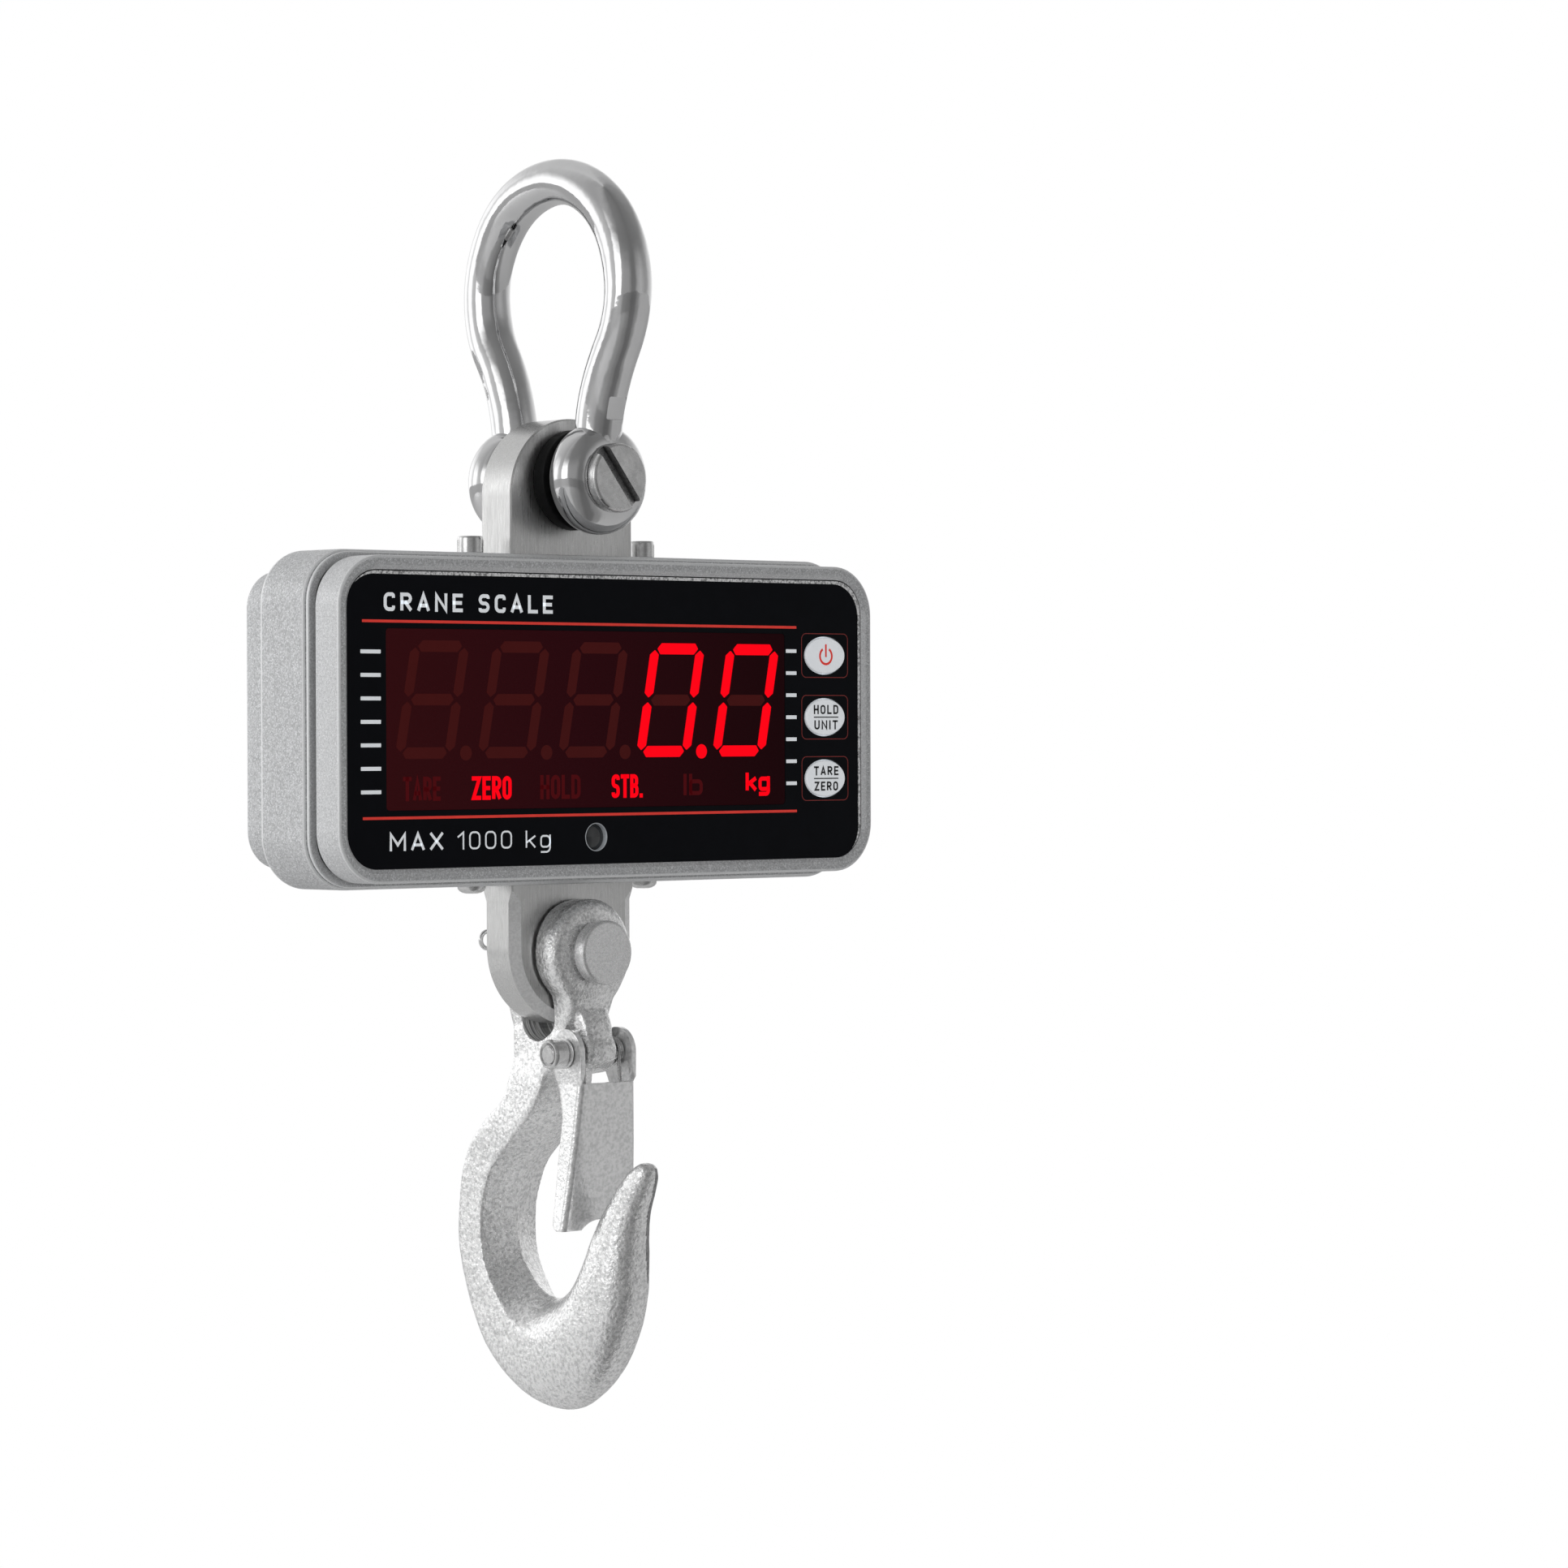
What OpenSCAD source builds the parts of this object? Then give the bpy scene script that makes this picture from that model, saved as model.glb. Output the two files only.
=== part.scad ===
// Crane scale: a hanging load scale with a bow shackle above, a clevis slip hook
// below and a two-part housing round a plate load cell.
// Millimetres. +Z is up. The origin is the crane's bearing point, at the middle
// of the inside of the shackle's crown. The display faces -Y.

/* [Shackle] */
// Bar diameter of the bow
bow_bar = 13; // [12:0.5:14]
// Centreline radius of the bow's crown
bow_r = 30; // [29:0.5:32]
// Outside diameter of the two eyes
eye_d = 30; // [28:0.5:32]
// Thickness of one eye, along the pin
eye_t = 12.9; // [12:0.1:14]
// Diameter of the shackle pin
pin_d = 16; // [15:0.5:16]
// Diameter of the slotted pin head
pin_head_d = 18.6; // [17.5:0.1:22]

/* [Load cell] */
// Width of the load cell plate
lug_w = 42.4; // [41:0.2:43]
// Thickness of the load cell plate
lug_t = 12.7; // [12.1:0.1:12.7]
// Depth of the window that makes the two measuring legs
window_h = 30; // [20:1:32]
// Width of that window
window_w = 26; // [20:1:28]

/* [Housing] */
// Width of the rear shell's flange
house_w = 189; // [189:0.5:191]
// Height of the rear shell's flange
house_h = 88.4; // [88.4:0.2:90]
// Outside corner radius
house_r = 14; // [12:0.5:15]
// Wall thickness of the cast shells
wall = 3; // [2.5:0.1:3]
// How far the front frame is set in from the flange, on each side
front_inset = 1.65; // [1.4:0.05:1.8]
// Diameter of the battery cells
cell_d = 14.2; // [13.8:0.1:14.3]

/* [Keys] */
// Width of a key
key_w = 14.6; // [13:0.1:14.8]
// Height of a key
key_h = 9.9; // [9:0.1:10.2]
// Clearance round a key in the overlay
key_gap = 0.35; // [0.3:0.05:0.5]

/* [Hook] */
// Thickness of the hook's body across the bowl
hook_t = 19.6; // [18:0.2:20]
// Outside diameter of the clevis eyes
clevis_d = 28.6; // [27:0.2:29]
// Inside gap of the clevis
clevis_gap = 14.4; // [14.2:0.1:14.8]
// Diameter of the clevis pin
clevis_pin_d = 13; // [12:0.5:13]

/* [Latch] */
// Width of the latch over its cheeks
latch_w = 19.3; // [19.1:0.1:19.5]
// Width of the latch at its free end
latch_end_w = 26; // [24:0.5:27]
// Sheet thickness of the latch
latch_s = 1.5; // [1.2:0.1:1.6]

/* [Hidden] */
$fn = 64;
e = 0.01;

hz = -139;                  // height of the housing's centre
up_z = hz + 64.5;           // shackle pin
lo_z = hz - 62.6;           // clevis pin
fit = 0.06;                 // running fit, on the radius

bow_c = -(bow_r - bow_bar / 2);      // height of the bow's centre
bow_a = 32;                 // how far the crown's arc runs past its widest point
eye_y = 10.85;              // inner face of an eye
leg_y = eye_y + eye_t / 2;
leg_R = (bow_r * cos(bow_a) - leg_y) / (1 - cos(bow_a));

front_y = -25.2;            // face of the bezel
frame_y = -15.2;            // back of the front frame
flange_y = -13.6;           // front of the rear shell
crease_y = 6.7;             // where the rear shell steps in
back_y = 20;                // rear face
step = 4.5;
over_y = -24.2;             // face of the overlay
over_t = 0.8;
web_y = over_y + over_t;    // face of the frame's web
web_t = 2;
board_y = -14.6;            // face of the display board
board_t = 1.6;
screw_x = 80;  screw_z = 32.5;
key_x = 76;
key_zs = [17.6, 0.5, -16.5];
win_x0 = -76.9; win_x1 = 61; win_z = 23.5;
digit_x0 = -61.9; digit_p = 27.14;
ir_x = -6.8; ir_z = -31.4;
bat_xs = [-71.5, -57, -42.5];
bat_y = 8.6;
jack_x = 60; jack_z = -20;

bolt_y = -14.4; bolt_z = -89.5;      // latch bolt, from the housing's centre
bolt_r = 2.5;

// ---------- helpers ----------
// draws its 2D child in the XZ plane, solid from y0 to y1
module slab(y0, y1) { translate([0, y1, 0]) rotate([90, 0, 0]) linear_extrude(y1 - y0) children(); }
// draws its 2D child, whose axes are Y and Z, solid from x0 to x1
module side(x0, x1) { translate([x0, 0, 0]) rotate([90, 0, 90]) linear_extrude(x1 - x0) children(); }
module rrect(w, h, r) {
    square([w - 2 * r, h], center = true);
    square([w, h - 2 * r], center = true);
    for (sx = [-1, 1], sz = [-1, 1]) translate([sx * (w / 2 - r), sz * (h / 2 - r)]) circle(r);
}
module ycyl(r, y0, y1) { translate([0, y1, 0]) rotate([90, 0, 0]) cylinder(r = r, h = y1 - y0); }
module xcyl(r, x0, x1) { translate([x0, 0, 0]) rotate([0, 90, 0]) cylinder(r = r, h = x1 - x0); }
module ellipse(a, b) { polygon([for (t = [0 : 7.5 : 352.5]) [a * cos(t), b * sin(t)]]); }
module box(x0, x1, y0, y1, z0, z1) { translate([x0, y0, z0]) cube([x1 - x0, y1 - y0, z1 - z0]); }
module house() { translate([0, 0, hz]) children(); }
module at_keys() { for (z = key_zs) translate([key_x, 0, z]) children(); }
module at_corners() { for (sx = [-1, 1], sz = [-1, 1]) translate([sx * screw_x, 0, sz * screw_z]) children(); }
module at_standoffs() { for (x = [-82, 64.6], sz = [-1, 1]) translate([x, 0, sz * 22]) children(); }
// a ring with rounded rims, axis along Y
module round_ring(ro, ri, y0, y1, c) {
    translate([0, y0, 0]) rotate([-90, 0, 0]) rotate_extrude() {
        translate([ri, 0]) square([ro - ri - c, y1 - y0]);
        translate([ri, c]) square([ro - ri, y1 - y0 - 2 * c]);
        translate([ro - c, c]) circle(c);
        translate([ro - c, y1 - y0 - c]) circle(c);
    }
}

// ---------- shackle ----------
module bow_arc(R, cy, cz, a0, a1) {
    translate([0, cy, cz]) rotate([90, 0, 90]) rotate([0, 0, a0])
        rotate_extrude(angle = a1 - a0) translate([R, 0]) circle(d = bow_bar, $fn = 48);
}
module shackle_bow() {
    color("silver") difference() {
        union() {
            bow_arc(bow_r, 0, bow_c, -bow_a, 180 + bow_a);
            for (m = [0, 1]) mirror([0, m, 0]) {
                bow_arc(leg_R, leg_y + leg_R, bow_c - bow_r * sin(bow_a) - leg_R * sin(bow_a), 180 - bow_a, 180);
                translate([0, 0, up_z]) round_ring(eye_d / 2, pin_d / 2 - 1, eye_y, eye_y + eye_t, 4.5);
            }
        }
        translate([0, 0, up_z]) ycyl(pin_d / 2 + fit, -60, 60);
    }
}
module shackle_pin() {
    color("gainsboro") translate([0, 0, up_z]) difference() {
        union() {
            ycyl(pin_d / 2, -24, eye_y + eye_t + 1);
            translate([0, eye_y + eye_t + 1 - e, 0]) rotate([-90, 0, 0]) cylinder(r1 = pin_d / 2, r2 = pin_d / 2 - 1, h = 1);
            ycyl(pin_head_d / 2, -26.4, -23.8);
            translate([0, -26.4 + e, 0]) rotate([90, 0, 0]) cylinder(r1 = pin_head_d / 2, r2 = pin_head_d / 2 - 0.6, h = 0.6);
        }
        rotate([0, -38, 0]) box(-2.1, 2.1, -28, -24.6, -15, 15);
    }
}

// ---------- load cell ----------
up_c = 59.9; lo_c = -61.2; cham = 1.7;
module load_cell() {
    color("lightgray") house() difference() {
        union() {
            slab(-lug_t / 2, lug_t / 2) { translate([0, up_c]) circle(r = lug_w / 2, $fn = 96); translate([-lug_w / 2, -52]) square([lug_w, up_c + 52]); }
            // lower lug, with a ground chamfer on both faces
            translate([0, 0, -52]) mirror([0, 0, 1]) linear_extrude(-52 - lo_c)
                polygon([[-lug_w / 2, -lug_t / 2 + cham], [-lug_w / 2 + 3, -lug_t / 2], [lug_w / 2 - 3, -lug_t / 2], [lug_w / 2, -lug_t / 2 + cham],
                         [lug_w / 2, lug_t / 2 - cham], [lug_w / 2 - 3, lug_t / 2], [-lug_w / 2 + 3, lug_t / 2], [-lug_w / 2, lug_t / 2 - cham]]);
            translate([0, -lug_t / 2, lo_c]) rotate([-90, 0, 0]) rotate_extrude($fn = 96)
                polygon([[0, 0], [lug_w / 2 - 3, 0], [lug_w / 2, cham], [lug_w / 2, lug_t - cham], [lug_w / 2 - 3, lug_t], [0, lug_t]]);
        }
        translate([0, 0, up_z - hz]) ycyl(pin_d / 2 + fit, -20, 20);
        translate([0, 0, lo_z - hz]) ycyl(clevis_pin_d / 2 + fit, -20, 20);
        slab(-20, 20) rrect(window_w, window_h, 6);
    }
}
module strain_gauges() {
    color("goldenrod") house() for (s = [-1, 1], m = [0, 1]) mirror([m, 0, 0]) {
        if (s < 0) box(window_w / 2 - 0.4, window_w / 2, -3, 3, -6, 6);
        else box(lug_w / 2, lug_w / 2 + 0.4, -3, 3, -6, 6);
    }
}
module spacer_washers() {
    color("black") translate([0, 0, up_z]) for (m = [0, 1]) mirror([0, m, 0])
        difference() { ycyl(13.5, lug_t / 2, eye_y - 0.3); ycyl(pin_d / 2 + 0.4, 0, 20); }
}
module seal(z0, z1) {
    difference() {
        box(-lug_w / 2 - 1, lug_w / 2 + 1, -lug_t / 2 - 1, lug_t / 2 + 1, z0, z1);
        box(-lug_w / 2, lug_w / 2, -lug_t / 2, lug_t / 2, z0 - 1, z1 + 1);
    }
}
module upper_seal() { color("dimgray") house() seal(house_h / 2 - 2.9, house_h / 2 - 0.1); }
module lower_seal() { color("dimgray") house() seal(-house_h / 2 + 0.1, -house_h / 2 + 2.9); }
// threaded blocks on the load cell's edges that the housing hangs from
module mounting_blocks() {
    color("gray") house() for (sx = [0, 1], sz = [0, 1]) mirror([sx, 0, 0]) mirror([0, 0, sz]) difference() {
        box(lug_w / 2, 38, -6, 3.4, 33, house_h / 2 - wall);
        translate([30, 0, 30]) cylinder(r = 2.05, h = 20);
    }
}
module top_screws() {
    color("silver") house() for (s = [-1, 1]) translate([s * 30, 0, 0]) difference() {
        union() {
            translate([0, 0, 34]) cylinder(r = 2, h = house_h / 2 - 34);
            translate([0, 0, house_h / 2]) cylinder(r = 3.5, h = 4.4);
            translate([0, 0, house_h / 2 + 4.4]) cylinder(r1 = 3.5, r2 = 3.1, h = 0.4);
        }
        translate([0, 0, house_h / 2 + 2.4]) cylinder(r = 1.73, h = 5, $fn = 6);
    }
}
module bottom_screws() {
    color("silver") house() mirror([0, 0, 1]) for (s = [-1, 1]) translate([s * 30, 0, 0]) difference() {
        union() {
            translate([0, 0, 34]) cylinder(r = 2, h = house_h / 2 - 34);
            translate([0, 0, house_h / 2]) cylinder(r = 3.8, h = 1);
            translate([0, 0, house_h / 2 + 1]) cylinder(r1 = 3.8, r2 = 2.6, h = 1.2);
        }
        translate([0, 0, house_h / 2 + 1.2]) { box(-1.9, 1.9, -0.4, 0.4, 0, 3); box(-0.4, 0.4, -1.9, 1.9, 0, 3); }
    }
}

// ---------- housing ----------
module rear_shell() {
    color("silver") house() difference() {
        union() {
            difference() {
                union() {
                    slab(flange_y, crease_y) rrect(house_w, house_h, house_r);
                    slab(crease_y - e, back_y) rrect(house_w - 2 * step, house_h - 2 * step, house_r - 3.5);
                }
                slab(flange_y - 1, crease_y - wall) rrect(house_w - 2 * wall, house_h - 2 * wall, house_r - wall);
                slab(crease_y - wall - e, back_y - wall) rrect(house_w - 2 * step - 2 * wall, house_h - 2 * step - 2 * wall, house_r - 6.5);
            }
            at_corners() { ycyl(4, frame_y, back_y - 1); ycyl(5.2, 10, back_y - 1); }
            // posts behind the battery door's two screws
            for (x = [-83.3, -30.7]) translate([x, 0, 0]) ycyl(3.2, 11, 18);
        }
        // openings for the two lugs and the four screws
        for (sz = [0, 1]) mirror([0, 0, sz]) {
            box(-lug_w / 2 - 1, lug_w / 2 + 1, -lug_t / 2 - 1, lug_t / 2 + 1, 30, 60);
            for (s = [-1, 1]) translate([s * 30, 0, 30]) cylinder(r = 2.1, h = 20);
        }
        at_corners() { ycyl(2.15, frame_y - 1, 30); ycyl(4, 16.5, 30); }
        // battery door recess and opening
        slab(18, 30) translate([-57, 0]) rrect(60.6, 54.6, 3.3);
        slab(10, 30) translate([-57, 0]) rrect(45, 51, 2);
        for (x = [-83.3, -30.7]) translate([x, 0, 0]) ycyl(1.55, 8, 30);
        translate([jack_x, 0, jack_z]) ycyl(4.5, 10, 30);
    }
}
module front_shell() {
    color("silver") house() difference() {
        union() {
            difference() {
                slab(front_y, frame_y) rrect(house_w - 2 * front_inset, house_h - 2 * front_inset - 0.3, house_r - 0.5);
                slab(front_y - 1, web_y) rrect(179.2, 77.2, 9.6);
                slab(web_y + web_t, frame_y + 1) rrect(178, 76.6, 9);
            }
            at_corners() ycyl(4, web_y + 1, frame_y);
            at_standoffs() ycyl(2.6, web_y + 1, board_y);
        }
        slab(web_y - 1, web_y + web_t + 1) translate([(win_x0 + win_x1) / 2, 0]) rrect(win_x1 - win_x0 + 0.8, 2 * win_z + 0.8, 1.5);
        at_keys() slab(web_y - 1, web_y + web_t + 1) ellipse(key_w / 2 + 0.45, key_h / 2 + 0.45);
        translate([ir_x, 0, ir_z]) ycyl(4.4, web_y - 1, web_y + web_t + 1);
        at_corners() ycyl(2.05, web_y + 2.5, frame_y + 1);
        at_standoffs() ycyl(1.25, web_y + 2.5, board_y + 1);
    }
}
module housing_gasket() {
    color("black") house() difference() {
        slab(frame_y, flange_y) rrect(181, 79.8, 11.2);
        slab(frame_y - 1, flange_y + 1) rrect(177, 75.8, 9.2);
    }
}
module shell_screws() {
    color("silver") house() at_corners() difference() {
        union() { ycyl(2, web_y + 3, 16.6); ycyl(3.5, 16.5, 19.6); }
        translate([0, 30, 0]) rotate([90, 0, 0]) cylinder(r = 1.73, h = 12.6, $fn = 6);
    }
}
module overlay_panel() {
    color("black") house() difference() {
        slab(over_y, web_y) rrect(179, 77, 9.5);
        slab(over_y - 1, web_y + 1) translate([(win_x0 + win_x1) / 2, 0]) rrect(win_x1 - win_x0, 2 * win_z, 1);
        at_keys() slab(over_y - 1, web_y + 1) ellipse(key_w / 2 + key_gap, key_h / 2 + key_gap);
        translate([ir_x, 0, ir_z]) ycyl(3.8, over_y - 1, web_y + 1);
    }
}
module display_window() { color("darkred") house() slab(over_y, web_y) translate([(win_x0 + win_x1) / 2, 0]) rrect(win_x1 - win_x0, 2 * win_z, 1); }
module ir_window() { color("darkslategray") house() translate([ir_x, 0, ir_z]) { ycyl(3.8, over_y - 0.1, web_y); ycyl(4.3, web_y, web_y + 1.2); } }
module ir_receiver() { color("black") house() translate([ir_x, 0, ir_z]) box(-3, 3, -19.4, board_y, -3.4, 3.4); }
module display_board() {
    color("darkgreen") house() difference() {
        union() { box(-86, 86, board_y, board_y + board_t, -27.5, 27.5); box(-16, 1, board_y, board_y + board_t, -36, -27); }
        at_standoffs() ycyl(1.3, -30, 0);
    }
}
module board_screws() { color("silver") house() at_standoffs() { ycyl(1.2, web_y + 3, board_y + board_t + e); ycyl(2.2, board_y + board_t, board_y + board_t + 1.4); } }
module led_digits() { color("maroon") house() for (i = [0 : 4]) box(digit_x0 + digit_p * i - 13.4, digit_x0 + digit_p * i + 13.4, -22, board_y, -12.6, 23.4); }
module annunciator_block() { color("maroon") house() box(-75.4, 59.4, -22, board_y, -23.5, -13); }
module key_switches() { color("black") house() at_keys() { box(-3, 3, board_y - 3.4, board_y, -3, 3); ycyl(1.7, board_y - 3.8, board_y - 3.3); } }
module key(z) {
    color("gainsboro") house() translate([key_x, 0, z]) {
        slab(over_y - 0.5, web_y + 1) ellipse(key_w / 2, key_h / 2);
        ycyl(3.6, web_y + 0.9, web_y + web_t + 0.3);
        slab(web_y + web_t + 0.25, web_y + web_t + 1.1) ellipse(key_w / 2 + 1.3, key_h / 2 + 1.3);
        ycyl(2.4, web_y + web_t + 1, board_y - 4.4);
    }
}
module power_key() { key(key_zs[0]); }
module hold_key() { key(key_zs[1]); }
module tare_key() { key(key_zs[2]); }
module buzzer() { color("black") house() translate([45, 0, 14]) difference() { ycyl(6, board_y + board_t, -6.5); ycyl(1, -8, -5); } }

// ---------- battery ----------
module battery_holder() {
    color("dimgray") house() difference() {
        box(-81, -33, -3, bat_y, -27, 27);
        for (x = bat_xs) translate([x, bat_y, -25.7]) cylinder(r = cell_d / 2 + 0.15, h = 51.4);
        for (x = bat_xs, s = [-1, 1]) box(x - 5, x + 5, 2.5, bat_y + 1, min(s * 25, s * 26.3), max(s * 25, s * 26.3));
    }
}
module battery_cells() {
    color("royalblue") house() for (x = bat_xs) translate([x, bat_y, 0]) {
        translate([0, 0, -25]) cylinder(r = cell_d / 2, h = 49);
        translate([0, 0, 23.9]) cylinder(r = 2.7, h = 1.1);
    }
}
module battery_contacts() {
    color("gold") house() for (x = bat_xs, s = [0, 1]) mirror([0, 0, s]) box(x - 4.5, x + 4.5, 3, bat_y, 25.1, 26.2);
}
module battery_door() {
    color("silver") house() difference() {
        union() {
            slab(18, back_y) translate([-57, 0]) rrect(60, 54, 3);
            // finger ribs
            for (i = [-2 : 2]) box(-67, -47, back_y - e, back_y + 0.5, i * 3 - 0.5, i * 3 + 0.5);
        }
        for (x = [-83.3, -30.7]) translate([x, 0, 0]) ycyl(1.7, 10, 30);
    }
}
module battery_door_screws() {
    color("silver") house() for (x = [-83.3, -30.7]) translate([x, 0, 0]) difference() {
        union() { ycyl(1.5, 12, back_y + 0.1); ycyl(2.6, back_y, back_y + 1); translate([0, back_y + 1 - e, 0]) rotate([-90, 0, 0]) cylinder(r1 = 2.6, r2 = 1.8, h = 0.7); }
        translate([0, back_y + 0.6, 0]) { box(-1.4, 1.4, 0, 3, -0.3, 0.3); box(-0.3, 0.3, 0, 3, -1.4, 1.4); }
    }
}
module charge_socket() {
    color("black") house() translate([jack_x, 0, jack_z]) difference() {
        union() { ycyl(4.4, 7, back_y + e); ycyl(6, back_y, back_y + 1.5); ycyl(5.8, 14.4, back_y - wall); }
        ycyl(2.8, 9.5, 30);
    }
}
module charge_pin() { color("gold") house() translate([jack_x, 0, jack_z]) ycyl(1, 9.5, back_y - 0.5); }

// ---------- hook ----------
// side outline of the hook, (Y, Z) from the housing's centre
function hook_outline() = [
    [16.5, -46], [16.5, -70], [14.5, -78], [12, -85], [11, -92], [11.2, -100], [14, -104.5],
    [20.5, -109.5], [26.5, -116.5], [30.2, -124.5], [32, -133], [32, -142], [30.2, -150.5],
    [26.5, -160], [21, -168.5], [14, -176.5], [6, -183], [0, -186.2], [-3.5, -187], [-8, -186],
    [-14.5, -181.5], [-21, -174], [-26.2, -165], [-30, -155.5], [-32.3, -146], [-33.2, -139],
    [-34.6, -132.5], [-37.2, -127], [-39, -122.5], [-39.2, -119.6], [-38, -117.8], [-36.2, -117.4],
    [-32.5, -119.2], [-29.2, -122.2], [-23.5, -129.6], [-20, -135.2], [-17.4, -140.5], [-13.7, -147.3],
    [-9, -152.8], [-3, -156.2], [3, -156.5], [9, -154.2], [14, -149.5], [17.6, -143.4], [18.9, -137],
    [18.4, -130.5], [15.8, -124], [11, -118.4], [4.4, -112.3], [-0.8, -107.4], [-4, -102.6],
    [-6.4, -97], [-7.2, -92], [-7.2, -84], [-9.5, -82], [-13.5, -80], [-16.5, -74], [-16.5, -46]];
module hook_body() {
    color("gainsboro") house() difference() {
        union() {
            intersection() {
                side(-15, 15) polygon(hook_outline());
                slab(-60, 60) {
                    translate([0, lo_z - hz]) circle(d = clevis_d, $fn = 96);
                    polygon([[-11.5, -70], [-8, -77], [-7.5, -82], [-8, -88], [-hook_t / 2, -98], [-hook_t / 2, -190],
                             [hook_t / 2, -190], [hook_t / 2, -98], [8, -88], [7.5, -82], [8, -77], [11.5, -70]]);
                }
            }
            // lug that carries the latch bolt
            translate([0, bolt_y, bolt_z]) xcyl(5.2, -5, 5);
            box(-5, 5, bolt_y, -7, bolt_z - 5.2, bolt_z + 7);
        }
        // slot of the clevis
        box(-30, 30, -clevis_gap / 2, clevis_gap / 2, -79.7, -40);
        translate([0, 0, -79.7]) xcyl(clevis_gap / 2, -30, 30);
        translate([0, 0, lo_z - hz]) ycyl(clevis_pin_d / 2 + fit, -40, 40);
        translate([0, bolt_y, bolt_z]) xcyl(bolt_r + fit, -20, 20);
        // the point thins towards its tip
        for (m = [0, 1]) mirror([m, 0, 0]) slab(-60, -10)
            polygon([[3.2, -117], [5.4, -130], [hook_t / 2, -160], [30, -160], [30, -110], [3.2, -110]]);
    }
}
module clevis_pin() {
    color("silver") translate([0, 0, lo_z]) difference() {
        union() {
            ycyl(clevis_pin_d / 2, -17, 21);
            translate([0, 21 - e, 0]) rotate([-90, 0, 0]) cylinder(r1 = clevis_pin_d / 2, r2 = clevis_pin_d / 2 - 0.8, h = 0.8);
            ycyl(8.65, -20.3, -16.7);
            translate([0, -20.3 + e, 0]) rotate([90, 0, 0]) cylinder(r1 = 8.65, r2 = 8.1, h = 0.5);
        }
        translate([0, 18.6, 0]) rotate([0, 15, 0]) xcyl(1.5, -10, 10);
    }
}
module cotter_pin() {
    color("silver") translate([0, 18.6, lo_z]) rotate([0, 15, 0]) {
        xcyl(1.3, -8, 9.5);
        translate([-10.2, 0, 0]) rotate([90, 0, 0]) rotate_extrude() translate([2.4, 0]) circle(r = 0.9, $fn = 24);
    }
}
module latch_bolt() {
    color("silver") house() translate([0, bolt_y, bolt_z]) {
        xcyl(bolt_r, -15.9, 10);
        xcyl(4.2, latch_w / 2 + 0.3, latch_w / 2 + 1.1);
    }
}
module latch_nut() {
    color("silver") house() translate([0, bolt_y, bolt_z]) difference() {
        union() {
            xcyl(4, -15.2, -latch_w / 2 - 0.3);
            translate([-15.2 + e, 0, 0]) rotate([0, -90, 0]) cylinder(r1 = 4, r2 = 3.4, h = 0.6);
        }
        xcyl(bolt_r + 0.02, -20, 0);
    }
}
module latch_spring() {
    color("gray") house() translate([0, bolt_y, bolt_z]) {
        for (x = [5.85, 7.2], s = [-1, 1]) translate([s * x, 0, 0]) rotate([0, 90, 0])
            rotate_extrude() translate([3.6, 0]) circle(r = 0.6, $fn = 20);
    }
}
// side outline of the latch, (Y, Z) from the housing's centre
module latch_side() {
    translate([bolt_y, bolt_z]) circle(r = 6.4);
    polygon([[-20.8, -89.5], [-20.7, -97.5], [-19.5, -113], [-18.5, -122], [-16.9, -137], [-13.6, -137], [-12.6, -135],
             [-12.8, -128], [-13, -119], [-14, -107], [-12.6, -100], [-10.2, -95], [-8.2, -91.5], [-14, -88]]);
}
module latch_front(d) {
    polygon([[-latch_w / 2 + d, -80], [-latch_w / 2 + d, -97.5], [-latch_end_w / 2 + d, -137], [latch_end_w / 2 - d, -137],
             [latch_w / 2 - d, -97.5], [latch_w / 2 - d, -80]]);
}
module latch_plate() {
    color("whitesmoke") house() difference() {
        intersection() { side(-20, 20) latch_side(); slab(-40, 0) latch_front(0); }
        // the channel behind the web
        intersection() {
            side(-20, 20) polygon([[-20.7 + latch_s, -97.5], [-19.5 + latch_s, -113], [-18.5 + latch_s, -122], [-16.9 + latch_s, -137], [-16.8 + latch_s, -142],
                                   [20, -142], [20, -70], [-40, -70], [-40, -97.5]]);
            slab(-60, 30) difference() { latch_front(latch_s); translate([-30, -150]) square([60, 0.01]); }
        }
        slab(-40, 0) polygon([for (t = [0 : 10 : 180]) [8.2 * cos(t), -142.6 + 8.2 * sin(t)]]);
        translate([0, bolt_y, bolt_z]) xcyl(bolt_r + fit, -20, 20);
    }
}

shackle_bow();
shackle_pin();
load_cell();
strain_gauges();
spacer_washers();
upper_seal();
lower_seal();
mounting_blocks();
top_screws();
bottom_screws();
rear_shell();
front_shell();
housing_gasket();
shell_screws();
overlay_panel();
display_window();
ir_window();
ir_receiver();
display_board();
board_screws();
led_digits();
annunciator_block();
key_switches();
power_key();
hold_key();
tare_key();
buzzer();
battery_holder();
battery_cells();
battery_contacts();
battery_door();
battery_door_screws();
charge_socket();
charge_pin();
hook_body();
clevis_pin();
cotter_pin();
latch_bolt();
latch_nut();
latch_spring();
latch_plate();
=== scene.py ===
import math

import bpy
import bmesh
import numpy as np
from mathutils import Vector, Matrix


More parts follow.
